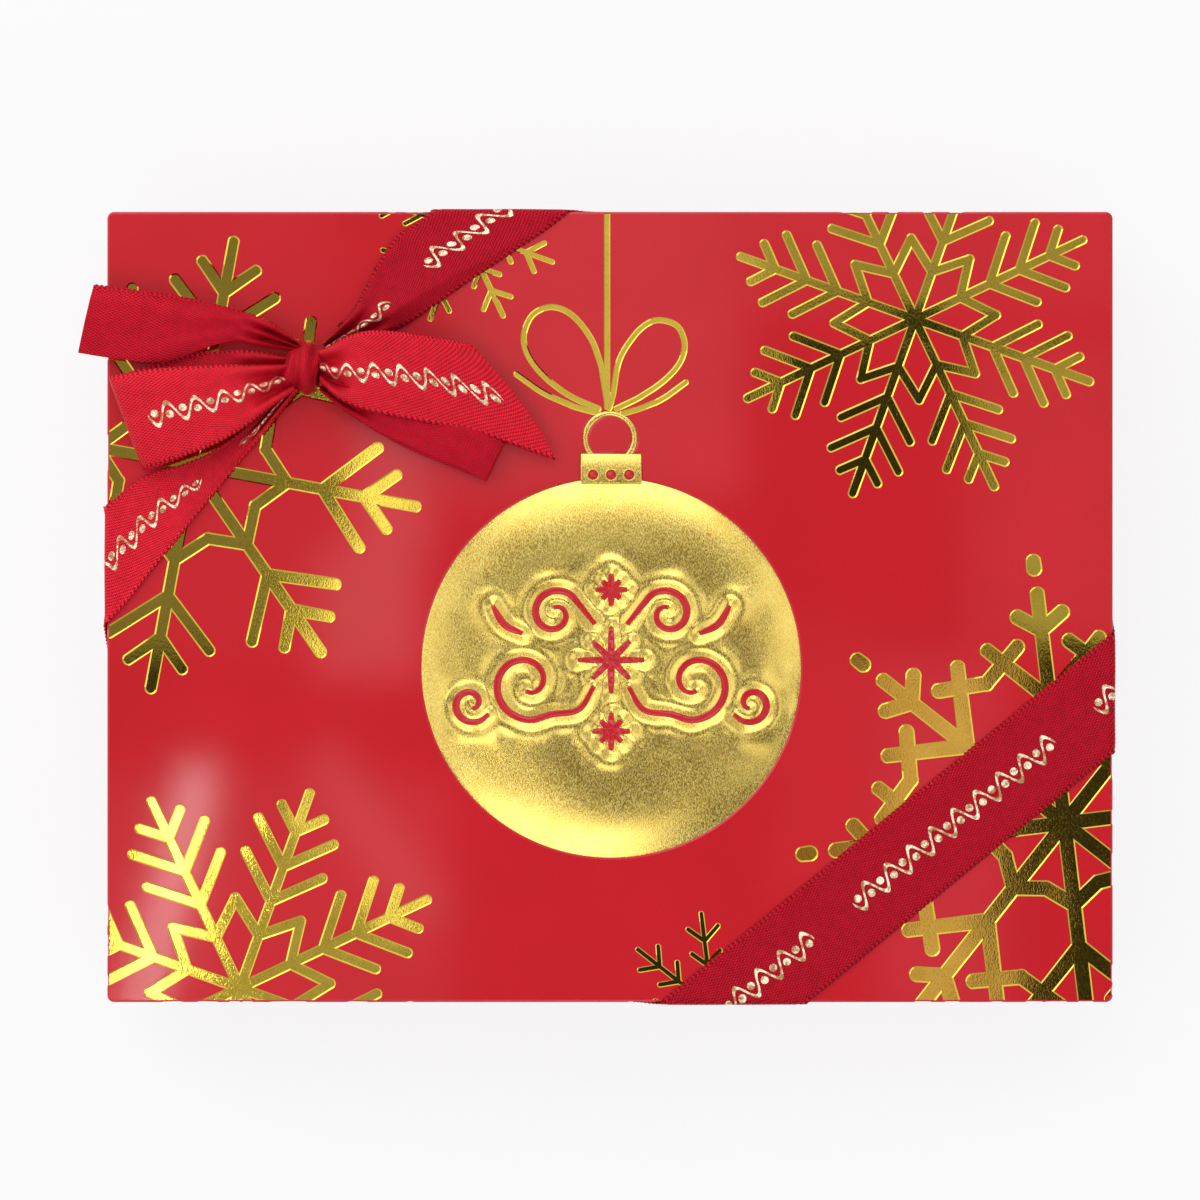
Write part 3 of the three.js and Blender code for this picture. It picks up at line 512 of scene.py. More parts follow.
def wrapped_box(low, high, mouth_up):
    """A sheet of paper round a box that is open at the top or at the bottom, with its edge turned in."""
    bm = bmesh.new()
    middle = (low + high) / 2
    add_block(bm, low, high)
    tall = (high.z - low.z) / 2
    upright = [e for e in bm.edges if abs(e.verts[0].co.z - e.verts[1].co.z) > tall]
    round_off(bm, upright, CORNER_ROUND, CORNER_STEPS)
    closed, mouth = (low.z, high.z) if mouth_up else (high.z, low.z)
    round_off(bm, edges_at(bm, closed), EDGE_ROUND, EDGE_STEPS)
    open_face = [f for f in bm.faces if all(abs(v.co.z - mouth) < TOUCHING for v in f.verts)]
    bmesh.ops.delete(bm, geom=open_face, context="FACES_ONLY")
    rim = open_edges(bm)
    inward = -1 if mouth_up else 1
    for reach, rise in ((WALL / 4, 0), (WALL / 2, 0), (WALL / 4, 0), (0, TURN_IN)):
        verts, rim = extrude_rim(bm, rim)
        width = [max(abs(v.co[axis] - middle[axis]) for v in verts) for axis in range(2)]
        shrink = [(width[axis] - reach) / width[axis] for axis in range(2)]
        bmesh.ops.scale(bm, vec=(*shrink, 1), verts=verts, space=Matrix.Translation(-middle))
        shift(bm, up(inward * rise), verts)
    around_mouth = [e for e in edges_at(bm, mouth) if any(abs(f.normal.z) < 0.5 for f in e.link_faces)]
    round_off(bm, around_mouth, RIM_FOLD, RIM_STEPS)
    bmesh.ops.remove_doubles(bm, verts=bm.verts, dist=TOUCHING)
    face_out(bm)
    return bm


def paper_piece(bm, name, body, node):
    """Gives a wrap's sheet its body and its red finish."""
    bmesh.ops.solidify(bm, geom=bm.faces[:], thickness=PAPER)
    face_out(bm)
    return piece_from(bm, name, [red_paper], body, (node,))


# %% [markdown]
# ## Round the lid's edges
# The print and the ribbon both run over the lid's edges. They are drawn flat, as if the lid's sides lay
# spread out round its top, and then laid over the edges. This function walks from the start of the bend:
# round the edge, down the side, round the rim and up the inside. It answers where a point lands that lies
# that far out, at a height above the paper.

# %% Fold a flat drawing over the lid
RIM_ROUND = 0.45 * MM
ARRIVED = 1e-9
SIDE = LID_TOP - LID_RIM
BEND_X = HALF_X - EDGE_ROUND
BEND_Y = HALF_Y - EDGE_ROUND
BEND_LENGTH = EDGE_ROUND * math.pi / 2
TRACK = [
    (EDGE_ROUND, None),
    (None, SIDE - EDGE_ROUND - RIM_ROUND),
    (RIM_ROUND, None),
    (None, WALL - 2 * RIM_ROUND),
    (RIM_ROUND, None),
    (None, 30 * MM),
]


def along_track(beyond, height):
    """How far out and how far down a point lies that is beyond the start of the bend."""
    place = Vector((0, 0))
    heading = 0.0
    for radius, straight in TRACK:
        forward = Vector((math.cos(heading), -math.sin(heading)))
        outward = Vector((math.sin(heading), math.cos(heading)))
        if straight is None:
            turn = min(beyond / radius, math.pi / 2)
            centre = place - outward * radius
            heading += turn
            outward = Vector((math.sin(heading), math.cos(heading)))
            place = centre + outward * radius
            beyond -= turn * radius
        else:
            step = min(beyond, straight)
            place = place + forward * step
            beyond -= step
        if beyond <= ARRIVED:
            break
    return place + outward * height


def over_the_lid(point):
    """A point of the flat drawing, with its height above the paper as z, laid on the lid."""
    x, y, height = point
    if abs(x) > BEND_X:
        out, down = along_track(abs(x) - BEND_X, height)
        return Vector((math.copysign(BEND_X + out, x), y, LID_TOP + down))
    if abs(y) > BEND_Y:
        out, down = along_track(abs(y) - BEND_Y, height)
        return Vector((x, math.copysign(BEND_Y + out, y), LID_TOP + down))
    return Vector((x, y, LID_TOP + height))


# %% [markdown]
# ## Drawing the print
# A snowflake is made of bars with round ends. One arm is drawn, and a spin repeats it eight times. The bars
# overlap, so Blender's flat triangulation joins them: it takes overlapping outlines and returns the area
# that they cover together.

# %% Bars and spins
ARMS = 8
ROUND_STEPS = 16
SHORTEST = 0.05 * MM
STRAIGHT = math.radians(2)
FILL_GAP = 1e-4


def add_bar(bm, start, end, width):
    """A flat bar with round ends: a circle whose front half is moved to the far end."""
    along = end - start
    verts = bmesh.ops.create_circle(bm, cap_ends=True, segments=ROUND_STEPS, radius=width / 2)["verts"]
    for vert in verts:
        if vert.co.dot(along) > TINY:
            vert.co += along
    shift(bm, start, verts)


def spin_round(bm, faces, copies, span):
    step = math.radians(span / copies)
    bmesh.ops.spin(bm, geom=parts_of(faces), axis=up(1), cent=up(0), dvec=up(0),
                   angle=step * (copies - 1), steps=copies - 1, use_duplicate=True)


# %% A flat union
def outlines_of(bm):
    """The boundary of flat faces as closed rings of points, without points that hardly turn."""
    waiting = dict.fromkeys(edge.link_loops[0] for edge in open_edges(bm))
    rings = []
    while waiting:
        loop = next(iter(waiting))
        points = []
        while loop in waiting:
            del waiting[loop]
            points.append(loop.vert.co.xy)
            loop = loop.link_loop_next
            while not loop.edge.is_boundary:
                loop = loop.link_loop_radial_next.link_loop_next
        kept = [p for i, p in enumerate(points) if (p - points[i - 1]).length > SHORTEST]
        turns = [(kept[i] - kept[i - 1]).angle_signed(kept[(i + 1) % len(kept)] - kept[i], 0)
                 for i in range(len(kept))]
        rings.append([p for p, turn in zip(kept, turns) if abs(turn) > STRAIGHT])
    return [ring for ring in rings if len(ring) > 2]


def flat_area(ring):
    return sum(a.cross(b) for a, b in zip(ring, ring[1:] + ring[:1])) / 2


def fill_flat(bm, rings, wanted):
    """Fills rings with triangles. wanted takes the rings round a triangle and says whether it stays."""
    points = [point / MM for ring in rings for point in ring]
    starts = [sum(len(ring) for ring in rings[:i]) for i in range(len(rings))]
    faces = [[start + i for i in range(len(ring))] for start, ring in zip(starts, rings)]
    points, _, triangles, _, _, around = delaunay_2d_cdt(points, [], faces, 1, FILL_GAP, True)
    bm.clear()
    verts = [bm.verts.new((x * MM, y * MM, 0)) for x, y in points]
    for triangle, inside in zip(triangles, around):
        if wanted(inside):
            bm.faces.new([verts[i] for i in triangle])
    bmesh.ops.delete(bm, geom=[vert for vert in verts if not vert.link_faces], context="VERTS")
    face_up(bm)
    bm.normal_update()


def unite(bm):
    """Joins overlapping flat faces into one area, then fills its outline afresh."""
    fill_flat(bm, [[vert.co.xy for vert in face.verts] for face in bm.faces], bool)
    rings = outlines_of(bm)
    signs = [math.copysign(1, flat_area(ring)) for ring in rings]
    anticlockwise = [ring if sign > 0 else ring[::-1] for ring, sign in zip(rings, signs)]
    fill_flat(bm, anticlockwise, lambda inside: sum(signs[i] for i in inside) > 0)


# %% The four kinds of snowflake
# tip is the arm's length. branches hold how far up the arm they start, their length and their angle. ring
# is the zigzag near the middle: its distance on the arms and between them. link is a bar of the web: how
# far out and how far aside it ends, and where it starts between the arms. dot is the bar past the tip.
STAR_FLAKE = {"tip": 33, "stroke": 1.62, "ring": (8.7, 14.1),
              "branches": ((14.3, 9.6, 46), (20, 9.4, 46), (25.8, 5.6, 46))}
WEB_FLAKE = {"tip": 41.4, "stroke": 2.7, "ring": (14.4, 11.8), "link": (32.2, 14.2, 27.8),
             "dot": (44.6, 45.8), "branches": ((21.6, 15.1, 45), (33.8, 6.1, 55))}
RING_FLAKE = {"tip": 40.5, "stroke": 2.1, "ring": (16.9, 13.05),
              "branches": ((23, 13.05, 47), (30.5, 7.7, 45))}
SMALL_FLAKE = {"tip": 17, "stroke": 0.92, "branches": ((7.5, 3.8, 47), (11.7, 4, 47))}


def drawn_flake(motif, wall):
    """A flake drawn flat about the origin, in metres, wider by wall on each side than its stroke."""
    bm = bmesh.new()
    width = motif["stroke"] * MM + 2 * wall
    end = motif["stroke"] / 2
    between = 180 / ARMS
    tip = polar((motif["tip"] - end) * MM, 0)
    add_bar(bm, -tip, tip, width)
    spin_round(bm, bm.faces[:], ARMS // 2, 180)
    arms = set(bm.faces)
    for side in (1, -1):
        for at, length, angle in motif["branches"]:
            joint = polar(at * MM, 0)
            add_bar(bm, joint, joint + polar((length - end) * MM, side * angle), width)
        if "ring" in motif:
            on_arm, off_arm = motif["ring"]
            add_bar(bm, polar(on_arm * MM, 0), polar(off_arm * MM, side * between), width)
        if "link" in motif:
            far, spread, start = motif["link"]
            reached = polar((far - end / 3) * MM, between + side * spread)
            add_bar(bm, polar(start * MM, between), reached, width)
    if "dot" in motif:
        add_bar(bm, polar(motif["dot"][0] * MM, 0), polar(motif["dot"][1] * MM, 0), width)
    spin_round(bm, [face for face in bm.faces if face not in arms], ARMS, 360)
    unite(bm)
    return bm


# %% [markdown]
# ## Pressing the print into the paper
# The stamp presses the paper down, so each line is a shallow groove with foil on its floor and on its
# sloping walls. The walls see other lights than the floor does, which gives the thin bright line along
# each stroke. The drawing is wider than its stroke by a share of the wall. Extruded up and inset down, it
# is the cutter for the groove. It is cut where it bends over the lid's edges, and its floor and walls are
# the foil, apart from the bends, where foil cracks off.

# %% Fit a drawing to the lid
FOIL_LIFT = 0.01 * MM
CUTTER_HEIGHT = 0.5 * MM
RIM_CLEAR = 0.7 * MM
WALL_SHARE = 0.3
cutters = bmesh.new()


def cut_along(bm, axis, at, beyond=False):
    """Cuts a drawing across, at this distance on both sides. beyond takes off what lies past it."""
    for side in (1, -1):
        normal = up(0)
        normal[axis] = side
        bmesh.ops.bisect_plane(bm, geom=parts_of(bm.faces[:]), plane_co=normal * at, plane_no=normal,
                               clear_outer=beyond)


def on_a_bend(point):
    """Whether a point of the flat drawing lies where the paper bends, where the foil has cracked off."""
    return any(0 < abs(at) - bend < BEND_LENGTH for at, bend in ((point.x, BEND_X), (point.y, BEND_Y)))


def crease_over_edges(bm):
    """Cuts a drawing along the lid's bends and takes off what would lie past the rim or a corner."""
    corners = (HALF_X - CORNER_ROUND, HALF_Y - CORNER_ROUND)
    for axis, bend in ((0, BEND_X), (1, BEND_Y)):
        for step in range(EDGE_STEPS + 1):
            cut_along(bm, axis, bend + BEND_LENGTH * step / EDGE_STEPS)
        cut_along(bm, axis, bend + BEND_LENGTH + SIDE - EDGE_ROUND - RIM_CLEAR, beyond=True)
        cut_along(bm, axis, corners[axis])
    middles = {face: face.calc_center_median() for face in bm.faces}
    lost = [f for f, at in middles.items() if abs(at.x) > corners[0] and abs(at.y) > corners[1]]
    bmesh.ops.delete(bm, geom=lost, context="FACES")


def inset_down(bm, floor, wall, depth):
    """Insets faces by a wall and lowers them. A corner's inset is kept short. Returns the sloping walls."""
    sloped = bmesh.ops.inset_region(bm, faces=floor, thickness=wall, use_boundary=True, use_even_offset=True)
    low = dict.fromkeys(vert for face in floor for vert in face.verts)
    for vert in low:
        for edge in vert.link_edges:
            outer = edge.other_vert(vert)
            step = vert.co - outer.co
            if outer not in low and step.length > 2 * wall:
                vert.co = outer.co + step.normalized() * 2 * wall
    shift(bm, up(-depth), list(low))
    return sloped["faces"]


# %% Press a drawing
def press(bm, wall, depth):
    """Adds a drawing's groove to the cutters. Returns its floor and walls, laid over the lid, for foil."""
    floor = bm.faces[:]
    extrude_faces(bm, floor, up(CUTTER_HEIGHT))
    for face in [*floor, *inset_down(bm, floor, wall, depth)]:
        face.material_index = 1
    bmesh.ops.triangulate(bm, faces=bm.faces[:])
    crease_over_edges(bm)
    foil = bm.copy()
    lost = [f for f in foil.faces if f.material_index == 0 or on_a_bend(f.calc_center_median())]
    bmesh.ops.delete(foil, geom=lost, context="FACES")
    face_up(foil)
    bmesh.ops.holes_fill(bm, edges=open_edges(bm))
    face_out(bm)
    for drawing, lift in ((bm, 0), (foil, FOIL_LIFT)):
        for face in drawing.faces:
            face.material_index = 0
        for vert in drawing.verts:
            vert.co = over_the_lid(vert.co + up(lift))
    groove = mesh_from(bm, "groove")
    cutters.from_mesh(groove)
    bpy.data.meshes.remove(groove)
    return foil


def foil_from(bm, name, stands_for):
    piece = piece_from(bm, name, [gold_foil], "lid", stands_for)
    print("Stamped", name, len(piece.data.polygons), "faces")


# %% Stamp the snowflakes
# Each flake's middle is measured from the lid's middle, in millimetres, and its arms are turned by degrees.
FLAKES = (
    ("star_flake_back_right", STAR_FLAKE, 1.0, (53.1, 50.1), 25.3, ("flake_back_right",)),
    ("star_flake_front_left", STAR_FLAKE, 1.116, (-64.4, -66.3), 25.3, ("flake_front_left",)),
    ("web_flake_right", WEB_FLAKE, 1.0, (79.1, -37.6), 6.8, ("flake_right",)),
    ("ring_flake_left", RING_FLAKE, 1.0, (-72.7, 24.7), -10.5, ("flake_left",)),
    ("small_flake_front", SMALL_FLAKE, 1.0, (17.9, -69.8), 7, ()),
    ("small_flake_back", SMALL_FLAKE, 1.0, (-25.6, 65.7), -20, ()),
)
GROOVE = {"wall": 0.26 * MM, "depth": 0.15 * MM}
SMALL_GROOVE = {"wall": 0.16 * MM, "depth": 0.1 * MM}
for name, motif, scale, (x, y), turn, nodes in FLAKES:
    groove = SMALL_GROOVE if motif is SMALL_FLAKE else GROOVE
    drawing = drawn_flake(motif, WALL_SHARE * groove["wall"] / scale)
    turned = Matrix.Rotation(math.radians(turn), 4, "Z") @ Matrix.Scale(scale, 4)
    placed = Matrix.Translation((x * MM, y * MM, 0)) @ turned
    bmesh.ops.transform(drawing, matrix=placed, verts=drawing.verts)
    foil_from(press(drawing, **groove), name, nodes)

# %% [markdown]
# ## The bauble's thread and bow
# The bauble hangs from a thin stamped thread with a bow drawn in one line. Each line is a grid of two rows
# that is bent along a flowing curve.

# %% Draw the thread and the bow
BAUBLE_RADIUS = 33 * MM
BAUBLE_MIDDLE = Vector((0.2 * MM, -10.6 * MM, 0))
CAP_HALF = 5.3 * MM
CAP_LOW = 21.5 * MM
CAP_HIGH = 26.7 * MM
HOOP_MIDDLE = Vector((0, 29.4 * MM, 0))
HOOP_RADIUS = 4.77 * MM
HOOP_LINE = 0.94 * MM
LINE = 0.95 * MM
LINE_GROOVE = {"wall": 0.2 * MM, "depth": 0.12 * MM}
STUB = 0.01
LINE_KNOT = Vector((-0.2, 34.8, 0))
LINE_BOW = (
    ((-1.3, 7.1), (-3.1, 11.9), (-6.4, 16), (-10, 17.4), (-13.3, 16), (-14.8, 12.4), (-14, 8.9), (-11.2, 5.3),
     (-6.9, 2), (-1.8, -0.3)),
    ((0.8, 2.5), (1.8, 8.1), (4.4, 12.4), (6.9, 14.6), (9.2, 15.1), (12, 14), (13.2, 10.9), (12.3, 7.6),
     (9.5, 4.5), (5.4, 1.7), (1.3, -0.3)),
    ((-16.1, 5.7), (-11.5, 2.5), (-6.4, 0.2), (-1.8, -1.1)),
    ((13.4, 4.3), (9.5, 1.5), (5.9, -0.1), (2.3, -1.2)),
)
LOOP_FEET = (((-0.2, 0.2), (-1.3, 7.1)), ((0.1, -0.2), (0.8, 2.5)))
THREAD = ((-0.3, 0), (-0.3, 33.4))


def add_line(bm, points, width):
    """A flat line of even width along points, as a grid bent to follow them."""
    count = len(points) - 1
    verts = bmesh.ops.create_grid(bm, x_segments=count, y_segments=1, size=0.5)["verts"]
    for vert in verts:
        i = round((vert.co.x + 0.5) * count)
        along = (points[min(i + 1, count)] - points[max(i - 1, 0)]).normalized()
        side = Vector((-along.y, along.x, 0))
        vert.co = points[i] + side * width * math.copysign(0.5, vert.co.y)


def drawn_thread(wall):
    bm = bmesh.new()
    for points in (*LINE_BOW, *LOOP_FEET, THREAD):
        line = flowing([(LINE_KNOT + Vector((*point, 0))) * MM for point in points], 5)
        add_line(bm, line, LINE + 2 * wall)
        for end in (line[0], line[-1]):
            add_bar(bm, end, end + (line[1] - line[0]) * STUB, LINE + 2 * wall)
    unite(bm)
    return bm


thread_foil = press(drawn_thread(WALL_SHARE * LINE_GROOVE["wall"]), **LINE_GROOVE)
foil_from(thread_foil, "bauble_thread_and_bow", ("bauble_bow",))

# %% [markdown]
# ## The bauble
# The bauble is embossed: the die pushes the board up into a soft pillow with a thin raised rim. Red
# ornament is left bare of foil and pressed back down, which puckers the gold round it. The pillow is a
# profile spun round, and its points are then lowered near the ornament's lines.

# %% Lines of the ornament
VOLUTE_STEPS = 12
UPRIGHT_ARM = 1.25


def volute(middle, start, end, first, last):
    """A spiral about middle: its radius runs from start to end while it turns from first to last."""
    turns = [i / VOLUTE_STEPS for i in range(VOLUTE_STEPS + 1)]
    return [Vector((*middle, 0)) + polar(start + (end - start) * t, first + (last - first) * t)
            for t in turns]


CURLS = (
    [(2.8, 7.6, 0), *volute((9.8, 9.4), 4.6, 1.1, 160, -280)],
    [(3, -3.2, 0), (5.6, -7.2, 0), *volute((14.6, -2.6), 6.9, 1.4, 232, 640)],
    volute((24.4, -6.2), 3.6, 0.9, -150, 250),
    [(15.4, 6, 0), (18.6, 7.6, 0), (20.6, 10.8, 0)],
)
STARS = ((0, 1.4, 4.6), (0, 13.6, 2.2), (0, -11, 2.6))


def ornament_paths():
    """Curls in mirrored pairs, and the arms of three stars, laid on the bauble."""
    paths = []
    for curl in CURLS:
        for side in (1, -1):
            points = [BAUBLE_MIDDLE + Vector((side * x * MM, y * MM, 0)) for x, y, _ in curl]
            paths.append(flowing(points, 7))
    for x, y, reach in STARS:
        middle = BAUBLE_MIDDLE + Vector((x * MM, y * MM, 0))
        for angle in range(0, 180, 45):
            arm = polar(reach * MM * (1 if angle % 90 else UPRIGHT_ARM), angle)
            paths.append([middle - arm + 2 * arm * t / 6 for t in range(7)])
    return paths


paths = ornament_paths()
near = kdtree.KDTree(sum(len(path) for path in paths))
for index, point in enumerate(point for path in paths for point in path):
    near.insert(point, index)
near.balance()
print("The ornament has", len(paths), "lines")

# %% Height of the pillow
# Shares are shares of the bauble's radius. The pucker fades out between two distances from a line.
RECESS = 0.15 * MM
PILLOW_RISE = 1.3 * MM
CROWN_SHARE = 0.985
CROWN_POWER = 5
RIM_RISE = 0.1 * MM
RIM_SHARE = 0.99
RIM_WIDTH = 0.007
EDGE_RISE = 0.12 * MM
VALLEY = 0.5 * MM
VALLEY_WIDTH = 1.15 * MM
LIP = 0.16 * MM
LIP_AT = 2.3 * MM
LIP_WIDTH = 1 * MM
PUCKER = 0.22 * MM
PUCKER_SIZE = 4.5 * MM
PUCKER_FADE = (9 * MM, 2 * MM)
DENT = 0.3 * MM
DENT_SIZE = 15 * MM
DENT_LAYER = 9 * MM
DENT_FADE = (0.92, 0.55)


def pillow_height(x, y):
    """Height of the gold above the recess's floor."""
    far = math.hypot(x - BAUBLE_MIDDLE.x, y - BAUBLE_MIDDLE.y) / BAUBLE_RADIUS
    crown = PILLOW_RISE * (1 - min(far / CROWN_SHARE, 1) ** CROWN_POWER)
    rim = RIM_RISE * math.exp(-((far - RIM_SHARE) / RIM_WIDTH) ** 2)
    height = crown + rim + EDGE_RISE * smoothstep(1, 0.97, far)
    distance = near.find((x, y, 0))[2]
    valley = VALLEY * math.exp(-(distance / VALLEY_WIDTH) ** 2)
    lip = LIP * math.exp(-((distance - LIP_AT) / LIP_WIDTH) ** 2)
    wave = noise.noise(Vector((x, y, 0)) / PUCKER_SIZE) * smoothstep(*PUCKER_FADE, distance)
    dent = noise.noise(Vector((x, y, DENT_LAYER)) / DENT_SIZE) * smoothstep(*DENT_FADE, far)
    return height - valley + lip + PUCKER * wave + DENT * dent


# %% Spin the pillow
PILLOW_RINGS = 76
PILLOW_SPOKES = 256
GOLD_FLOOR = LID_TOP - RECESS


def spun_pillow():
    bm = bmesh.new()
    radii = [BAUBLE_RADIUS * ring / PILLOW_RINGS for ring in range(PILLOW_RINGS + 1)]
    spin_line(bm, [(radius, 0, 0) for radius in radii], PILLOW_SPOKES)
    bmesh.ops.remove_doubles(bm, verts=bm.verts, dist=MERGE)
    shift(bm, BAUBLE_MIDDLE, bm.verts)
    for vert in bm.verts:
        vert.co.z = GOLD_FLOOR + pillow_height(vert.co.x, vert.co.y)
    for vert in extrude_rim(bm, open_edges(bm))[0]:
        vert.co.z = GOLD_FLOOR
    bmesh.ops.holes_fill(bm, edges=open_edges(bm))
    face_out(bm)
    return bm


pillow = spun_pillow()

# %% Cap and hoop
HOLE_PITCH = 3.16 * MM
HOLE_Y = 23 * MM
HOLE_RADIUS = 0.86 * MM
RING_REACH = 0.28 * MM
RING_LINE = 0.3 * MM
RING_RISE = 0.16 * MM
CAP_RISE = 0.4 * MM
CAP_SLOPE = 0.07
CAP_EDGE = 0.16 * MM
HOOP_RISE = 0.22 * MM
HALF_ROUND = 6


def cap_height(y):
    """Height of the cap's face, which falls away from the pillow."""
    return GOLD_FLOOR + CAP_RISE - CAP_SLOPE * (y - (CAP_LOW + CAP_HIGH) / 2)


def hole_middles(lift):
    return [Vector((BAUBLE_MIDDLE.x + step * HOLE_PITCH, HOLE_Y, cap_height(HOLE_Y) + lift))
            for step in (-1, 0, 1)]


def add_cap(bm):
    low = Vector((BAUBLE_MIDDLE.x - CAP_HALF, CAP_LOW, GOLD_FLOOR))
    high = Vector((BAUBLE_MIDDLE.x + CAP_HALF, CAP_HIGH, GOLD_FLOOR + CAP_RISE))
    verts = add_block(bm, low, high)
    face = [vert for vert in verts if vert.co.z > GOLD_FLOOR + CAP_RISE / 2]
    for vert in face:
        vert.co.z = cap_height(vert.co.y)
    round_off(bm, [e for e in edges_of(face) if all(v in face for v in e.verts)], CAP_EDGE, 4)


def add_hoop(bm, middle, radius, line, rise):
    """A flat ring with a rounded top: a half circle spun about the ring's middle."""
    angles = [math.pi * i / HALF_ROUND for i in range(HALF_ROUND + 1)]
    section = [Vector((radius - line / 2 - line / 2 * math.cos(angle), 0, rise * math.sin(angle)))
               for angle in angles]
    spin_line(bm, [middle + point for point in section], 48, middle)


add_cap(pillow)
add_hoop(pillow, HOOP_MIDDLE + up(GOLD_FLOOR), HOOP_RADIUS, HOOP_LINE, HOOP_RISE)
for hole in hole_middles(0):
    add_hoop(pillow, hole, HOLE_RADIUS + RING_REACH, RING_LINE, RING_RISE)
bmesh.ops.remove_doubles(pillow, verts=pillow.verts, dist=MERGE)
face_out(pillow)
bauble = piece_from(pillow, "embossed_bauble", [embossed_gold], "lid", ("bauble",),
                    math.radians(60))
print("Spun", bauble.name, len(bauble.data.polygons), "faces")

# %% Red lines of the ornament and the cap's holes
ORNAMENT_LINE = 1.25 * MM
ORNAMENT_STEP = 0.4 * MM
ORNAMENT_ROWS = 4
LINE_LIFT = 0.05 * MM
HOLE_LIFT = 0.08 * MM


def red_ornament():
    bm = bmesh.new()
    for path in paths:
        count = max(6, round(spaced(path, 1)[1] / ORNAMENT_STEP))
        even = spaced(path, count)[0]
        verts = bmesh.ops.create_grid(bm, x_segments=count, y_segments=ORNAMENT_ROWS, size=0.5)["verts"]
        for vert in verts:
            i = round((vert.co.x + 0.5) * count)
            taper = 0.45 + 0.55 * math.sin(math.pi * min(max(i / count, 0.04), 0.96)) ** 0.5
            along = (even[min(i + 1, count)] - even[max(i - 1, 0)]).normalized()
            at = even[i] + Vector((-along.y, along.x, 0)) * vert.co.y * ORNAMENT_LINE * taper
            at.z = GOLD_FLOOR + pillow_height(at.x, at.y) + LINE_LIFT
            vert.co = at
    for middle in hole_middles(HOLE_LIFT):
        bmesh.ops.create_circle(bm, cap_ends=True, segments=24, radius=HOLE_RADIUS,
                                matrix=Matrix.Translation(middle))
    face_up(bm)
    return bm


red_lines = piece_from(red_ornament(), "bauble_ornament", [red_paper], "lid")
thick = red_lines.modifiers.new("paper", "SOLIDIFY")
thick.thickness = 0.04 * MM
print("Laid", red_lines.name)


# %% Press the bauble's recess
RECESS_WALL = 0.35 * MM


def drawn_bauble(wall):
    bm = bmesh.new()
    bmesh.ops.create_circle(bm, cap_ends=True, segments=128, radius=BAUBLE_RADIUS + wall,
                            matrix=Matrix.Translation(BAUBLE_MIDDLE))
    cap_size = (2 * CAP_HALF + 2 * wall, CAP_HIGH - CAP_LOW + wall, 1, 1)
    cap_middle = (BAUBLE_MIDDLE.x, (CAP_LOW + CAP_HIGH + wall) / 2, 0)
    bmesh.ops.create_grid(bm, x_segments=1, y_segments=1, size=0.5,
                          matrix=Matrix.Translation(cap_middle) @ Matrix.Diagonal(cap_size))
    ring = [HOOP_MIDDLE + polar(HOOP_RADIUS - HOOP_LINE / 2, 7.5 * i) for i in range(49)]
    add_line(bm, ring, HOOP_LINE + 2 * wall)
    unite(bm)
    return bm


press(drawn_bauble(RECESS_WALL), RECESS_WALL, RECESS).free()


# %% Cut the grooves into the lid's paper
def keep_flat(mesh):
    """Shades the box's flat sides flat, so that the soft edges beside them don't tilt their shading."""
    for face in mesh.polygons:
        face.use_smooth = max(abs(part) for part in face.normal) < 0.9999


def cut_paper():
    lid_paper = paper_piece(wrapped_box(LID_LOW, LID_HIGH, mouth_up=False), "lid_paper", "lid", "lid_wrap")
    tool_mesh = mesh_from(cutters, "grooves")
    tool = show("grooves", tool_mesh)
    cut = lid_paper.modifiers.new("grooves", "BOOLEAN")
    cut.object = tool
    cut.operation = "DIFFERENCE"
    cut.solver = "EXACT"
    cut.use_self = True
    graph = bpy.context.evaluated_depsgraph_get()
    pressed = bpy.data.meshes.new_from_object(lid_paper.evaluated_get(graph))
    lid_paper.modifiers.clear()
    lid_paper.data = pressed
    pressed.set_sharp_from_angle(angle=SHARP)
    keep_flat(pressed)
    bpy.data.objects.remove(tool)
    bpy.data.meshes.remove(tool_mesh)
    return lid_paper


lid_paper = cut_paper()
print("Pressed", lid_paper.name, len(lid_paper.data.polygons), "faces")

# %% [markdown]
# ## The base's paper
# The base is wrapped in the same way, with its mouth up.

# %% Wrap the base
base_paper = paper_piece(wrapped_box(BASE_LOW, BASE_HIGH, mouth_up=True), "base_paper", "base", "base_wrap")
keep_flat(base_paper.data)
for node, look in (("base_board", grey_board), ("lid_board", grey_board), ("base_liner", liner_paper),
                   ("lid_liner", liner_paper)):
    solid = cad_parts[node]
    solid.data.materials.clear()
    solid.data.materials.append(look)
print("Wrapped", base_paper.name)

# %% [markdown]
# ## Ribbon
# A strip of ribbon is a grid laid between its two edges. Each edge is a flowing line through a few points,
# chosen so that the strip falls as it does on the box. The outer rows are lifted into a row of small
# beads, the selvage, and Solidify gives the cloth its body.

# %% Pleats and beads
BEAD_STEP = 0.18 * MM
BEAD_RISE = 0.26 * MM
BEAD_REACH = 0.24 * MM
CLOTH = 0.24 * MM
ROWS = 28
FEWEST = 12
CURVE_STEPS = 12
PLEATS = 2.5
FULLNESS = 0.82
FULL_GATHER = 0.3
TUCK_DROP = 0.7 * MM
TUCK_MOST = 0.8
BULGE_FROM = 0.7
CLOTH_SHARP = math.radians(80)


def pleat(gap, v):
    """Height of the pleats in a strip whose edges are drawn together, so that its cloth isn't lost."""
    spare = math.sqrt(max((FULLNESS * RIBBON_WIDTH) ** 2 - gap ** 2, 0))
    return spare / (4 * PLEATS) * math.sin(2 * math.pi * PLEATS * v)


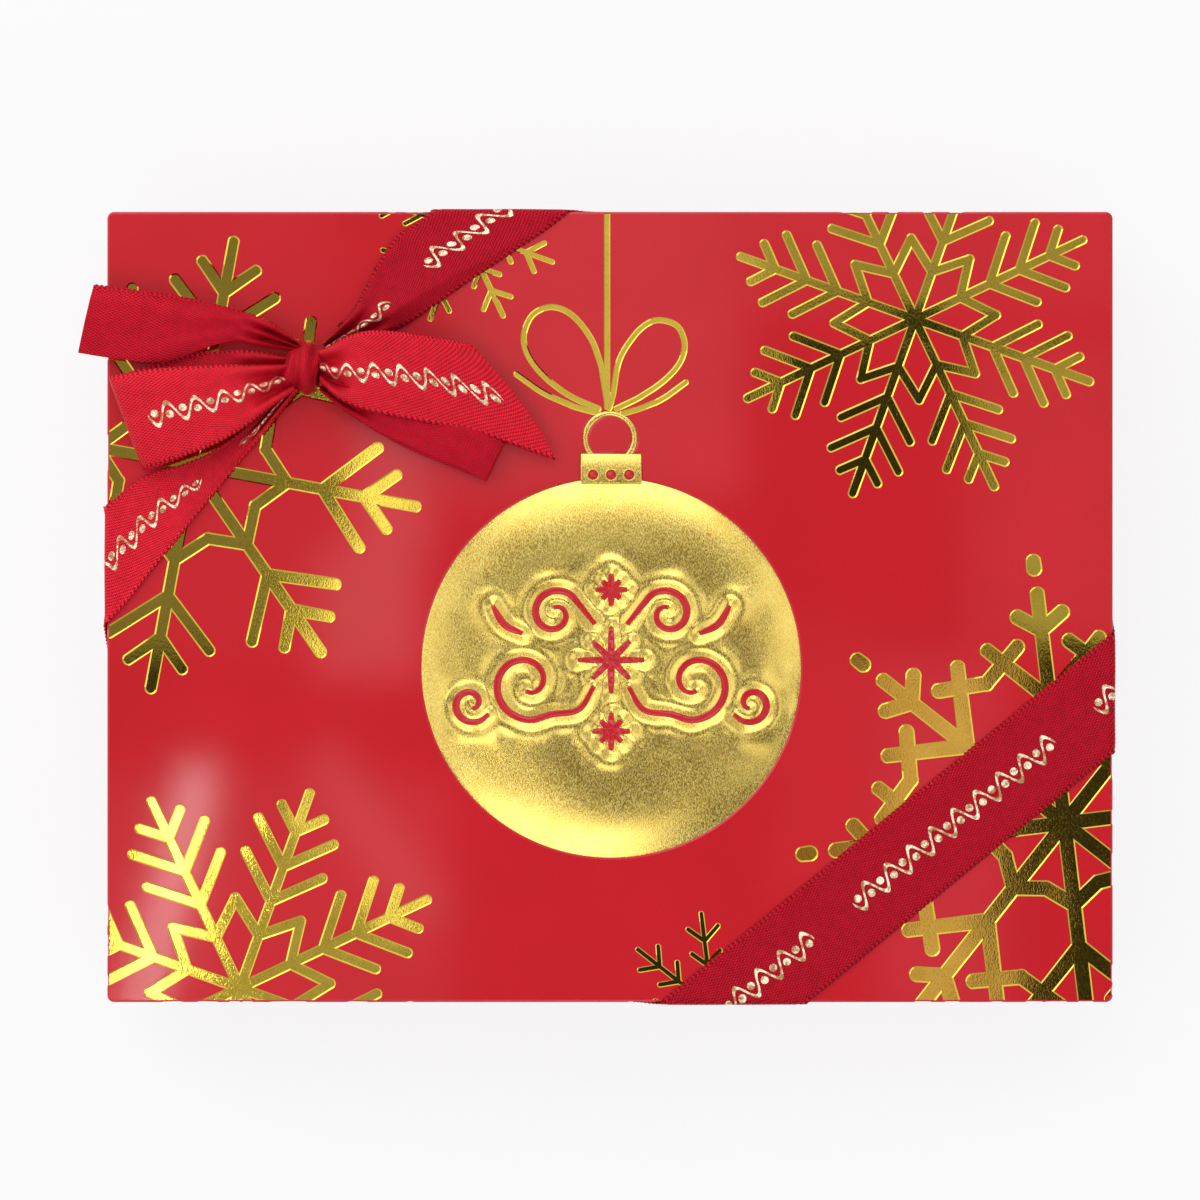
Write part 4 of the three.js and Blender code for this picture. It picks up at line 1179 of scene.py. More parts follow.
def raise_beads(cells, count, length):
    """Lifts the two outer rows along each edge into a row of small beads."""
    at_cell = {cell: vert for vert, cell in cells.items()}
    for vert, (i, j) in cells.items():
        edge_row = min(j, ROWS - j)
        if edge_row < 2:
            bead = abs(math.sin(math.pi * length * i / count / BEAD)) * (1 if edge_row == 0 else 0.5)
            outward = (vert.co - at_cell[i, 2 if j < 2 else ROWS - 2].co).normalized()
            vert.co += (vert.normal * BEAD_RISE + outward * BEAD_REACH) * bead


# %% Lay the strip
def strip_between(edge_a, edge_b, shape, place=Vector, start_u=0.0, tuck=0.0, bulge=0.0, gathered=0.3,
                  loop=False):
    """A grid from edge_a to edge_b. shape(u, v) lifts it, with u and v from 0 to 1, and place lays it.
    tuck is the share of its width that is folded under at edge_b, bulge rounds its far end, and gathered
    is the share of its length, from the knot, that has pleats. A loop has them at both ends."""
    lines = [flowing(edge, CURVE_STEPS) for edge in (edge_a, edge_b)]
    length = sum(spaced(line, 1)[1] for line in lines) / 2
    count = max(FEWEST, round(length / BEAD_STEP))
    even_a, even_b = (spaced(line, count)[0] for line in lines)
    bm = bmesh.new()
    uv = bm.loops.layers.uv.new("ribbon")
    bmesh.ops.create_grid(bm, x_segments=count, y_segments=ROWS, size=0.5)
    cells = {vert: (round((vert.co.x + 0.5) * count), round((vert.co.y + 0.5) * ROWS)) for vert in bm.verts}
    for corner in (corner for face in bm.faces for corner in face.loops):
        i, j = cells[corner.vert]
        corner[uv].uv = (start_u + length * i / count, RIBBON_WIDTH * j / ROWS)
    for vert, (i, j) in cells.items():
        u, v = i / count, j / ROWS
        from_knot = 2 * min(u, 1 - u) if loop else u
        across = even_b[i] - even_a[i]
        onward = (even_a[i] + even_b[i] - even_a[i - 1] - even_b[i - 1]).normalized()
        shown = min(v / (1 - tuck), 1)
        hidden = max(v - (1 - tuck), 0) * RIBBON_WIDTH
        at = even_a[i] + across * shown - across.normalized() * min(hidden, TUCK_MOST * across.length)
        at += onward * bulge * math.sin(math.pi * shown) * smoothstep(BULGE_FROM, 1, u)
        at.z += pleat(across.length, shown) * smoothstep(gathered, FULL_GATHER * gathered, from_knot)
        at.z += shape(u, shown) - min(hidden, TUCK_DROP)
        vert.co = place(at)
    bm.normal_update()
    raise_beads(cells, count, length)
    return bm, length


def ribbon_piece(bm, name, look, length, node):
    piece = piece_from(bm, name, [look], "lid", (node,), CLOTH_SHARP)
    body = piece.modifiers.new("cloth", "SOLIDIFY")
    body.thickness = CLOTH
    body.offset = 0
    print(f"Laid {name}: {length / MM:.0f} mm of ribbon, {len(piece.data.polygons)} faces")


# %% [markdown]
# ### Bands round the corners
# The front band lies flat and straight across its corner. It is drawn on the spread-out lid, where it is
# straight all the way, and folded over both edges, down the sides and under the rim.

# %% Front right band
BAND_LIFT = 0.36 * MM
SLACK = 0.1 * MM
TAB = 8 * MM
FRONT_X = 21.5 * MM
RIGHT_Y = -14.9 * MM
LEG = SIDE + WALL + TAB
FRONT_PRINT = 30 * MM


def slack(u, v):
    """A little unevenness, as a ribbon has that isn't drawn tight."""
    return SLACK * noise.noise(Vector((u * 9, v * 2, 3)))


front = Vector((FRONT_X, -HALF_Y, BAND_LIFT))
right = Vector((HALF_X, RIGHT_Y, BAND_LIFT))
along = (right - front).normalized()
side = Vector((-along.y, along.x, 0)) * RIBBON_WIDTH / 2
ends = (front - along * (LEG / along.y), right + along * (LEG / along.x))
band, length = strip_between([end + side for end in ends], [end - side for end in ends], slack,
                             over_the_lid, FRONT_PRINT)
ribbon_piece(band, "ribbon_band_front_right", satin, length, "ribbon_front_right")

# %% [markdown]
# The back and left bands are drawn together at the knot and open out towards the lid's edges. Near the
# knot the cloth rises into a soft lengthwise fold.

# %% Back and left bands
# heading and overhang say where a band runs on past the lid's edge, and ridge where its fold starts and how
# high it is. An edge's points are x, y and the height above the lid, in millimetres, from the knot outwards.
BAND_HEADING = math.radians(41.4)
PRINT_START = GARLAND_PITCH - 23 * MM
BAND_GATHER = 0.16
RIDGE_END = 0.9
BANDS = {
    "ribbon_back": {
        "name": "ribbon_band_back", "look": satin, "ridge": (0.55, 1.5),
        "heading": BAND_HEADING, "overhang": LEG / math.sin(BAND_HEADING),
        "edges": (((-49.9, 45.6, 2.2), (-44.6, 51.5, 1.4), (-40.6, 58.9, 0.8), (-36.8, 64.6, 0.5),
                   (-31.5, 68.3, 0.36)),
                  ((-48, 44, 2.2), (-41.8, 46.3, 1.2), (-35.1, 49.5, 0.8), (-25.8, 55.9, 0.5),
                   (-16.5, 62.1, 0.4), (-7.8, 68.3, 0.36)))},
    # The left band takes the lighter printed satin: painted sheen where it bends towards the light.
    "ribbon_left": {
        "name": "ribbon_band_left", "look": sheen_satin, "ridge": (0.5, 0.8),
        "heading": BAND_HEADING + math.pi, "overhang": LEG / math.cos(BAND_HEADING),
        "edges": (((-55.6, 38.6, 1.6), (-61.8, 32, 0.9), (-68.9, 27, 0.6), (-74.5, 24.6, 0.5),
                   (-80.2, 23, 0.4), (-87.1, 17.8, 0.36)),
                  ((-54.2, 37.8, 1.6), (-62.6, 27.6, 1), (-70.6, 17.8, 0.6), (-78.6, 7.9, 0.4),
                   (-87.1, -2.3, 0.36)))},
}


def run_out(points, heading, overhang):
    """An edge whose last point lies on the lid, run on past it."""
    edge = [Vector(point) * MM for point in points]
    edge[-1].z = BAND_LIFT
    onward = Vector((math.cos(heading), math.sin(heading), 0)) * overhang
    return [*edge, edge[-1] + onward / 2, edge[-1] + onward]


def lengthwise_fold(start, height):
    """A soft ridge that fades out and moves towards the second edge."""
    def fold(u, v):
        middle = start + (RIDGE_END - start) * smoothstep(0, 0.38, u)
        roof = min(v / middle, (1 - v) / (1 - middle))
        return height * MM * smoothstep(0.5, 0.08, u) * smoothstep(0, 1.2, roof) + slack(u, v)
    return fold


for node, row in BANDS.items():
    edges = [run_out(points, row["heading"], row["overhang"]) for points in row["edges"]]
    band, length = strip_between(*edges, lengthwise_fold(*row["ridge"]), over_the_lid, PRINT_START,
                                 gathered=BAND_GATHER)
    ribbon_piece(band, row["name"], row["look"], length, node)

# %% [markdown]
# ### The bow
# Two loops and two tails leave the knot. Each is a strip between two edges again. A loop's edges run out
# low, turn over at the fold and come back high.

# %% Loops and tails
# An edge's points are x, y and the height above the lid, in millimetres. They run from the knot outwards, and
# a loop's come back to it.
def crowned(height, ripple):
    """A slight crown across the strip, and long ripples that run out from the knot."""
    def shape(u, v):
        crown = height * math.sin(math.pi * v) * smoothstep(0, 0.5, u)
        wave = noise.noise(Vector((u * 2.2, v * 3.4, height * 7)))
        return (crown + ripple * wave) * MM + 2 * slack(u, v)
    return shape


# The bow's pieces take the lighter satins, which paint the sheen that they catch.
BOW = (
    ("bow_tail_left", plain_sheen_satin, "gathered", crowned(0.5, 0.5), {"tuck": 0.2, "gathered": 0.32},
     ((-53.8, 45.9, 3.8), (-60.9, 49.9, 4.4), (-73, 53.3, 4.6), (-89.3, 55.6, 3.6)),
     ((-54.2, 44.2, 3.2), (-61.8, 45.4, 3.6), (-66.5, 45.8, 4.1), (-77.3, 42.4, 3.4), (-85, 42.8, 3.2),
      (-92.1, 43.9, 3.2))),
    ("bow_tail_right", sheen_satin, "gathered", crowned(0.35, 0.4),
     {"bulge": 1.6 * MM, "gathered": 0.28, "start_u": 13 * MM},
     ((-50, 44.2, 5), (-44.4, 46.8, 6.2), (-39.2, 47.5, 6.4), (-31.7, 46.6, 5.6), (-24, 45.4, 4.2)),
     ((-50, 38.8, 4.4), (-47, 36, 5), (-42, 34.1, 5.4), (-31.7, 32, 4.6), (-23, 30.3, 3.6),
      (-9.3, 25.6, 2.6))),
    ("bow_loop_left", sheen_satin, "folded", crowned(0.3, 0.3),
     {"gathered": 0.4, "loop": True, "start_u": 17 * MM},
     ((-55.5, 43.3, 2.4), (-62.6, 44.2, 2), (-71.4, 44, 1.6), (-80, 41.6, 1.4), (-85.4, 40, 2),
      (-86.6, 39.6, 3.6), (-84.6, 40, 5), (-78, 41, 5.8), (-67, 41.6, 5.8), (-55.6, 42, 4.2)),
     ((-54.8, 39.4, 2.2), (-62.6, 35.4, 1.7), (-70, 29.4, 1.4), (-76, 25.8, 1.2), (-80, 24, 1.7),
      (-80.8, 23.8, 3), (-79, 24.4, 4.2), (-73.5, 26.2, 4.9), (-66, 29.4, 5), (-54.4, 37.4, 3.8))),
    ("bow_loop_right", plain_sheen_satin, "folded", crowned(0.3, 0.4),
     {"gathered": 0.4, "loop": True, "tuck": 0.25},
     ((-50.2, 40.4, 2.2), (-44, 39, 1.8), (-35, 36, 1.5), (-25, 33, 1.4), (-20, 30.4, 1.4),
      (-18.4, 28.6, 2.2), (-20, 29.6, 3), (-25, 32, 3.4), (-35, 35, 3.8), (-44, 38, 4), (-50.2, 40.2, 3.2)),
     ((-50.2, 37.6, 2), (-44.4, 33, 1.7), (-36, 28, 1.4), (-27.4, 24.4, 1.2), (-23.4, 22.8, 1.2),
      (-21.6, 22, 1.8), (-22.6, 22.6, 2.6), (-26.4, 24.6, 3), (-35.1, 28.2, 3.3), (-44.4, 33, 3.5),
      (-50.2, 37.4, 3))),
)
for node, look, held, shape, folds, *edges in BOW:
    edges = [[Vector(point) * MM + up(LID_TOP) for point in points] for points in edges]
    strip, length = strip_between(*edges, shape, **folds)
    ribbon_piece(strip, node + "_cloth", look, length, node)

# %% [markdown]
# ### The knot
# The knot is the same ribbon, drawn together and wrapped over the middle of the bow. The grid is bent over
# an oval hump, pleated along the wrap, and its ends run down behind the loops.

# %% Wrap the knot
# The wrap starts at an angle below one side, sweeps over the top and ends below the other side.
KNOT_LOW, KNOT_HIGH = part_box("bow_knot")
KNOT_TURN = math.radians(-12)
KNOT_LENGTH = 20 * MM
KNOT_START = math.radians(-28)
KNOT_SWEEP = math.radians(236)
KNOT_STEPS = (64, 56)
KNOT_REACH = 4.2 * MM
KNOT_RISE = 5 * MM
KNOT_LIFT = 1.75 * MM
KNOT_HALF = 3.2 * MM
KNOT_FACE = 4.9 * MM
KNOT_TUCK = 0.4 * MM
KNOT_PLEAT = 0.42 * MM
KNOT_SLANT = 0.5 * MM


def across_knot(cloth):
    """Where cloth, measured from the knot's middle line, lies sideways and how deep it is tucked in."""
    side = math.copysign(1, cloth)
    cloth = abs(cloth)
    if cloth < KNOT_FACE:
        return side * cloth * KNOT_HALF / KNOT_FACE, 0
    turn = (cloth - KNOT_FACE) / KNOT_TUCK
    if turn < math.pi:
        return side * (KNOT_HALF + KNOT_TUCK * math.sin(turn)), KNOT_TUCK * (1 - math.cos(turn))
    return side * (KNOT_HALF - (turn - math.pi) * KNOT_TUCK), 2 * KNOT_TUCK


def on_knot(angle, sideways, tuck):
    """Where cloth lies on the knot, before the knot is turned."""
    share = sideways / KNOT_HALF
    swell = math.sqrt(max(1 - 0.5 * min(abs(share), 1) ** 4, 0))
    fold = math.sin(1.7 * math.pi * share + 2.2 * math.cos(angle) + 0.4)
    lift = KNOT_PLEAT * fold * max(1 - share ** 6, 0) - tuck
    waist = 0.9 + 0.1 * math.cos(angle * 2)
    return Vector((sideways * waist + KNOT_SLANT * math.cos(angle),
                   (KNOT_REACH * swell + lift) * math.cos(angle),
                   (KNOT_RISE * swell + lift) * math.sin(angle)))


# %% Lay the knot's cloth
def knot_wrap():
    bm = bmesh.new()
    uv = bm.loops.layers.uv.new("ribbon")
    bmesh.ops.create_grid(bm, x_segments=KNOT_STEPS[0], y_segments=KNOT_STEPS[1], size=0.5)
    for corner in (corner for face in bm.faces for corner in face.loops):
        around, cloth = corner.vert.co.x + 0.5, corner.vert.co.y * RIBBON_WIDTH
        corner[uv].uv = (around * KNOT_LENGTH, RIBBON_WIDTH / 2 + across_knot(cloth)[0])
    middle = (KNOT_LOW + KNOT_HIGH) / 2
    middle.z = LID_TOP + KNOT_LIFT
    turn = Matrix.Rotation(KNOT_TURN, 3, "Z")
    for vert in bm.verts:
        angle = KNOT_START + KNOT_SWEEP * (vert.co.x + 0.5)
        vert.co = turn @ on_knot(angle, *across_knot(vert.co.y * RIBBON_WIDTH)) + middle
    bm.normal_update()
    return bm


# The knot takes the lighter unprinted satin: painted sheen.
ribbon_piece(knot_wrap(), "bow_knot_wrap", plain_sheen_satin, KNOT_LENGTH, "bow_knot")

# %% [markdown]
# ## Padded sheet
# A soft pad of embossed paper under the lid keeps the pralines in place. It is a closed cushion: flat
# where it is glued, crowned below, with its sides drawn in between the corners and a quilt of diamonds.

# %% Quilt the pad
PAD_LOW, PAD_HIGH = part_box("lid_pad")
PAD_STEPS = (128, 98)
QUILT = 15 * MM
QUILT_DEPTH = 0.7 * MM
DRAWN_IN = (0.02, 0.026)
PAD_EDGE = 7 * MM
PAD_SEAM = 1.8 * MM
PAD_CLEAR = 0.1 * MM
TOP_DROP = 1.7 * MM
PUFF_WIDTH = 0.5


def quilted_pad():
    bm = bmesh.new()
    size = PAD_HIGH - PAD_LOW
    middle = (PAD_LOW + PAD_HIGH) / 2
    bmesh.ops.create_grid(bm, x_segments=PAD_STEPS[0], y_segments=PAD_STEPS[1], size=0.5)
    upper = set(extrude_faces(bm, bm.faces[:], up(0))[0])
    for vert in bm.verts:
        x, y = 2 * vert.co.x, 2 * vert.co.y
        at_x = x * (1 - DRAWN_IN[0] * (1 - y * y)) * size.x / 2
        at_y = y * (1 - DRAWN_IN[1] * (1 - x * x)) * size.y / 2
        edge = min((1 - abs(x)) * size.x / 2, (1 - abs(y)) * size.y / 2)
        swell = math.sqrt(1 - (1 - min(edge / PAD_EDGE, 1)) ** 2)
        seam = min(abs(math.sin(math.pi * across / QUILT)) for across in (at_x + at_y, at_x - at_y))
        if vert in upper:
            drop = TOP_DROP * (1 - swell)
        else:
            puff = 1 - (1 - min(seam / PUFF_WIDTH, 1)) ** 2
            drop = PAD_SEAM + (size.z - PAD_SEAM - PAD_CLEAR - QUILT_DEPTH * (1 - puff)) * swell
        vert.co = Vector((at_x + middle.x, at_y + middle.y, PAD_HIGH.z - drop))
    face_out(bm)
    return bm


pad = piece_from(quilted_pad(), "quilted_pad", [pad_paper], "lid", ("lid_pad",),
                 math.radians(70))
print("Quilted", pad.name, len(pad.data.polygons), "faces")

# %% [markdown]
# ## Formed tray
# The tray is one sheet of film, drawn down into a pocket for each praline. A grid of cells is inset to the
# pockets' mouths and extruded down. Bevels round the pockets as the mould does.

# %% Form the tray
TRAY_LOW, TRAY_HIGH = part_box("insert_tray")
COLUMNS = 5
ROWS_OF_PRALINES = 4
PITCH = Vector((31.85 * MM, 30.45 * MM, 0))
MOUTH = 28.4 * MM
FOOT = 26.4 * MM
FILM = 0.6 * MM
FIRST_INSET = 0.9 * MM
POCKET_ROUND = 5 * MM
FOOT_ROUND = 1.4 * MM
LIP_REACH = 1.7 * MM
LEVEL_GAP = 1e-5


def scale_face(bm, face, width):
    verts = list(face.verts)
    spans = [max(v.co[axis] for v in verts) - min(v.co[axis] for v in verts) for axis in range(2)]
    bmesh.ops.scale(bm, vec=(width / spans[0], width / spans[1], 1), verts=verts,
                    space=Matrix.Translation(-face.calc_center_median()))


def formed_tray():
    bm = bmesh.new()
    bmesh.ops.create_grid(bm, x_segments=COLUMNS, y_segments=ROWS_OF_PRALINES, size=0.5)
    bmesh.ops.scale(bm, vec=(COLUMNS * PITCH.x, ROWS_OF_PRALINES * PITCH.y, 1), verts=bm.verts)
    shift(bm, up(TRAY_HIGH.z - FILM / 2), bm.verts)
    cells = bm.faces[:]
    bmesh.ops.inset_individual(bm, faces=cells, thickness=FIRST_INSET)
    for face in cells:
        scale_face(bm, face, MOUTH)
    for face in bmesh.ops.extrude_discrete_faces(bm, faces=cells)["faces"]:
        shift(bm, up(TRAY_LOW.z + FILM - TRAY_HIGH.z), face.verts)
        scale_face(bm, face, FOOT)
    walls = [e for e in bm.edges if abs(e.verts[0].co.z - e.verts[1].co.z) > POCKET_ROUND]
    round_off(bm, walls, POCKET_ROUND, 5)
    low = TRAY_LOW.z + FILM / 2 + LEVEL_GAP
    round_off(bm, [e for e in bm.edges if all(v.co.z < low for v in e.verts)], FOOT_ROUND, 3)
    lip = open_edges(bm)
    for out, drop in ((LIP_REACH, 0), (0, TRAY_HIGH.z - TRAY_LOW.z - FILM / 2)):
        verts, lip = extrude_rim(bm, lip)
        half = [max(abs(v.co[axis]) for v in verts) for axis in range(2)]
        bmesh.ops.scale(bm, vec=((half[0] + out) / half[0], (half[1] + out) / half[1], 1), verts=verts)
        shift(bm, up(-drop), verts)
    face_out(bm)
    return bm


tray = piece_from(formed_tray(), "formed_tray", [tray_film], "base", ("insert_tray",))
film = tray.modifiers.new("film", "SOLIDIFY")
film.thickness = FILM
film.offset = 0
soft = tray.modifiers.new("soft edges", "BEVEL")
soft.width = 0.5 * MM
soft.segments = 2
soft.limit_method = "ANGLE"
soft.angle_limit = math.radians(40)
print("Formed", tray.name, len(tray.data.polygons), "faces")

# %% [markdown]
# ## Pralines
# Seven kinds fill the box. Each is modelled once about its own foot, with piped lines and nuts in materials
# of their own, and copied to the places that the solids give.

# %% Shapes that the pralines share
# Praline shapes are written in millimetres about the middle of the foot.
ROPE_TIP = 0.35


def mark_new(bm, old, index):
    for face in bm.faces:
        if face not in old:
            face.material_index = index


def add_rope(bm, points, radius, sides=8):
    """A round rope of piped chocolate along points: circles, bridged one to the next."""
    rings = []
    last = len(points) - 1
    for i, point in enumerate(points):
        along = points[min(i + 1, last)] - points[max(i - 1, 0)]
        turn = along.to_track_quat("Z", "Y").to_matrix().to_4x4()
        end = i in (0, last)
        thick = radius * (ROPE_TIP if end else 1)
        verts = bmesh.ops.create_circle(bm, cap_ends=end, segments=sides, radius=thick,
                                        matrix=Matrix.Translation(point) @ turn)["verts"]
        rings.append([e for e in edges_of(verts) if all(v in verts for v in e.verts)])
    for before, after in zip(rings, rings[1:]):
        bmesh.ops.bridge_loops(bm, edges=before + after)


def spun(profile, steps=48):
    """A body of revolution: the profile, from the axis round to the axis, is spun about the upright."""
    bm = bmesh.new()
    spin_line(bm, [(radius * MM, 0, level * MM) for radius, level in profile], steps)
    bmesh.ops.remove_doubles(bm, verts=bm.verts, dist=MERGE)
    face_out(bm)
    return bm


def slab_from(bm, height, edge):
    """Turns a flat face into a slab with its edges rounded."""
    extrude_faces(bm, bm.faces[:], up(height * MM))
    face_out(bm)
    round_off(bm, [e for e in bm.edges if abs(e.verts[0].co.z - e.verts[1].co.z) < MERGE], edge * MM, 4)


# %% Dome and oval
DOME_RADIUS = 12
DOME_FOOT = 1.5
DOME_RISE = 14.5
DOME_LINES = 2.9
NUT_TOP = 15.2 * MM


def dome_level(radius):
    """Height of the dome at a distance from its axis."""
    return DOME_FOOT + DOME_RISE * max(1 - (radius / DOME_RADIUS) ** 2.4, 0) ** 0.55


def dome_praline(squeeze=1.0):
    radii = [DOME_RADIUS * math.sin(math.radians(angle)) for angle in range(90, -1, -6)]
    bm = spun([(0, 0), (11.2, 0), (11.8, 0.6), *((radius, dome_level(radius)) for radius in radii)])
    old = set(bm.faces)
    for line in range(-3, 4):
        reach = math.sqrt(DOME_RADIUS ** 2 - (line * DOME_LINES) ** 2) - 0.9
        points = []
        for x in (reach * t / 12 for t in range(-12, 13)):
            at = Vector((x, line * DOME_LINES + 0.5 * math.sin(x * 0.8 + line), 0))
            points.append((at + up(dome_level(min(at.length, 11.9)) + 0.05)) * MM)
        add_rope(bm, points, 0.48 * MM)
    mark_new(bm, old, 1)
    bmesh.ops.scale(bm, vec=(1, squeeze, 1), verts=bm.verts)
    return bm


def oval_praline():
    """A squeezed dome with half a nut on top, grooved along its middle."""
    bm = dome_praline(0.75)
    old = set(bm.faces)
    verts = bmesh.ops.create_icosphere(bm, subdivisions=3, radius=3.4 * MM)["verts"]
    bmesh.ops.scale(bm, vec=(1.5, 0.8, 0.5), verts=verts)
    shift(bm, up(NUT_TOP), verts)
    for vert in verts:
        if vert.co.z > NUT_TOP:
            vert.co.z -= 0.7 * MM * math.exp(-(vert.co.y / (0.5 * MM)) ** 2)
    mark_new(bm, old, 2)
    return bm


# %% Square and heart
SQUARE_LINES = 3.6
HEART_HALF = ((0, 6, 0), (2.2, 8.3, 0), (5.2, 9.5, 0), (8.6, 8.7, 0), (10.9, 5.9, 0), (11.3, 2.2, 0),
              (9.4, -2.4, 0), (6, -6.2, 0), (2.6, -9.2, 0), (0, -10.4, 0))
HEART_CURL = 0.45


def square_praline():
    bm = bmesh.new()
    bmesh.ops.create_grid(bm, x_segments=1, y_segments=1, size=11 * MM)
    round_off(bm, bm.verts[:], 3 * MM, 6, "VERTICES")
    slab_from(bm, 13, 1.5)
    old = set(bm.faces)
    for line in range(-2, 3):
        across = polar(line * SQUARE_LINES, -45)
        way = polar(8.4 - abs(line) * 1.6, 45)
        points = [(across + way * t / 10 + up(13.05 + 0.12 * math.sin(t))) * MM for t in range(-10, 11)]
        add_rope(bm, points, 0.75 * MM)
    mark_new(bm, old, 1)
    return bm


def heart_edge(steps):
    """The heart's outline: its right half, then the same points mirrored on the way back."""
    half = flowing(HEART_HALF, steps)
    return half + [Vector((-point.x, point.y, 0)) for point in half[-2:0:-1]]


def heart_praline():
    bm = bmesh.new()
    verts = [bm.verts.new(point * MM) for point in heart_edge(4)]
    bmesh.ops.contextual_create(bm, geom=verts)
    slab_from(bm, 12.2, 1.4)
    top = [max(bm.faces, key=lambda face: face.calc_center_median().z)]
    for size, rise in ((0.86, 0), (0.95, -0.7)):
        verts, top = extrude_faces(bm, top, up(rise * MM), keep=False)
        bmesh.ops.scale(bm, vec=(size, size, 1), verts=verts)
    old = set(bm.faces)
    curl = [(point * HEART_CURL + up(11.8)) * MM for point in heart_edge(3)]
    add_rope(bm, [*curl, curl[0]], 0.5 * MM)
    mark_new(bm, old, 1)
    return bm


# %% Bar
BAR_HALF = 8.5
BAR_SIDE = 5
BAR_RISE = 9
BAR_LENGTH = 24 * MM
ZIGZAGS = 4


def bar_praline():
    bm = bmesh.new()
    arch = [(-BAR_HALF, 0.8), (-BAR_HALF, BAR_SIDE)]
    for angle in map(math.radians, range(15, 180, 15)):
        arch.append((-BAR_HALF * math.cos(angle), BAR_SIDE + BAR_RISE * math.sin(angle)))
    arch += [(BAR_HALF, BAR_SIDE), (BAR_HALF, 0.8), (7.9, 0), (-7.9, 0)]
    verts = [bm.verts.new((-BAR_LENGTH / 2, y * MM, z * MM)) for y, z in arch]
    end = bmesh.ops.contextual_create(bm, geom=verts)["faces"]
    extrude_faces(bm, end, (BAR_LENGTH, 0, 0))
    face_out(bm)
    round_off(bm, [e for e in bm.edges if abs(e.verts[0].co.x - e.verts[1].co.x) < MERGE], 1.3 * MM, 4)
    old = set(bm.faces)
    points = []
    for t in (i / 96 for i in range(97)):
        y = 7.2 * math.cos(2 * math.pi * ZIGZAGS * t)
        level = BAR_SIDE + BAR_RISE * math.sqrt(1 - (y / BAR_HALF) ** 2) + 0.1
        points.append(Vector((-10 + 20 * t, y, level)) * MM)
    add_rope(bm, points, 0.5 * MM)
    mark_new(bm, old, 1)
    return bm


# %% Cup and pyramid
CUP_PROFILE = ((0, 0), (8.6, 0), (9, 0.4), (9.6, 2.6), (10.2, 5), (10.8, 7.4), (11.4, 9.6), (11.7, 11),
               (11.2, 11.5), (10.4, 11.3), (9.6, 10.9), (0, 10.9))
FLUTES = 12
FLUTE_DEPTH = 0.045
SWIRL_TURNS = 3.2
CRUMBS = 3


def cup_praline():
    """A fluted cup with a swirl of cream on top."""
    bm = spun(CUP_PROFILE, 144)
    for vert in bm.verts:
        x, y, level = vert.co
        if math.hypot(x, y) > 8 * MM and level < 11.2 * MM:
            flute = FLUTE_DEPTH * (1 - math.cos(FLUTES * math.atan2(y, x))) * smoothstep(0, 3 * MM, level)
            vert.co = (x * (1 - flute), y * (1 - flute), level)
    old = set(bm.faces)
    points = []
    for t in (i / 109 for i in range(110)):
        reach = 7.4 * (1 - t) ** 0.85 + 0.3
        points.append((polar(reach, SWIRL_TURNS * 360 * t) + up(11.4 + 3.4 * t)) * MM)
    add_rope(bm, points, 1.7 * MM, 10)
    mark_new(bm, old, 1)
    return bm


def pyramid_praline():
    """A square block with a tapered top, and crumbs of nut on it."""
    bm = bmesh.new()
    bmesh.ops.create_grid(bm, x_segments=1, y_segments=1, size=11.5 * MM)
    shoulder = extrude_faces(bm, bm.faces[:], up(4.8 * MM))[1]
    crown = extrude_faces(bm, shoulder, up(10.2 * MM), keep=False)[0]
    bmesh.ops.scale(bm, vec=(0.48, 0.48, 1), verts=crown)
    face_out(bm)
    round_off(bm, bm.edges[:], 1.1 * MM, 4)
    old = set(bm.faces)
    for turn in range(CRUMBS):
        crumb = bmesh.ops.create_icosphere(bm, subdivisions=2, radius=1.5 * MM)["verts"]
        for vert in crumb:
            vert.co *= 1 + 0.35 * noise.noise(vert.co / (1.3 * MM) + Vector((turn * 5, 0, 0)))
        shift(bm, polar(2.2 * MM, 360 / CRUMBS * turn + 20) + up(15.1 * MM), crumb)
    mark_new(bm, old, 2)
    return bm


# %% Fill the box
KINDS = {
    "dome": (dome_praline, "dark", "milk"),
    "oval": (oval_praline, "milk", "white"),
    "square": (square_praline, "milk", "milk"),
    "heart": (heart_praline, "milk", "white"),
    "bar": (bar_praline, "white", "dark"),
    "cup": (cup_praline, "dark", "milk"),
    "pyramid": (pyramid_praline, "dark", "white"),
}
TURNED = ("dome", "cup", "pyramid")
PRALINE_SHARP = math.radians(45)
PRALINES = sorted(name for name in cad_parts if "_praline_" in name)
moulds = {kind: make() for kind, (make, _, _) in KINDS.items()}
for node in PRALINES:
    kind, _, cell = node.partition("_praline_")
    low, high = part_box(node)
    body = moulds[kind].copy()
    face_out(body)
    half_turn = sum(map(ord, cell)) % 2 * math.pi if kind in TURNED else 0
    bmesh.ops.rotate(body, cent=up(0), matrix=Matrix.Rotation(half_turn, 3, "Z"), verts=body.verts)
    shift(body, ((low.x + high.x) / 2, (low.y + high.y) / 2, low.z), body.verts)
    shell, trim = KINDS[kind][1:]
    looks = [CHOCOLATES[shell], CHOCOLATES[trim], nut]
    piece_from(body, f"{kind}_{cell}", looks, "base", (node,), PRALINE_SHARP)
for mould in moulds.values():
    mould.free()
print("Filled the box with", len(PRALINES), "pralines")

# %% [markdown]
# ## Floor, light and camera
# The box lies on a white table under a light tent. The floor keeps a soft shadow. Foil shows what it sees,
# so the softboxes are set by their mirror images: each one is placed where the camera sees it reflected in
# a chosen part of the lid.

# %% Floor
FLOOR_HALF = 3
FLOOR_LEVEL = -0.2 * MM
GLOW = 0.85


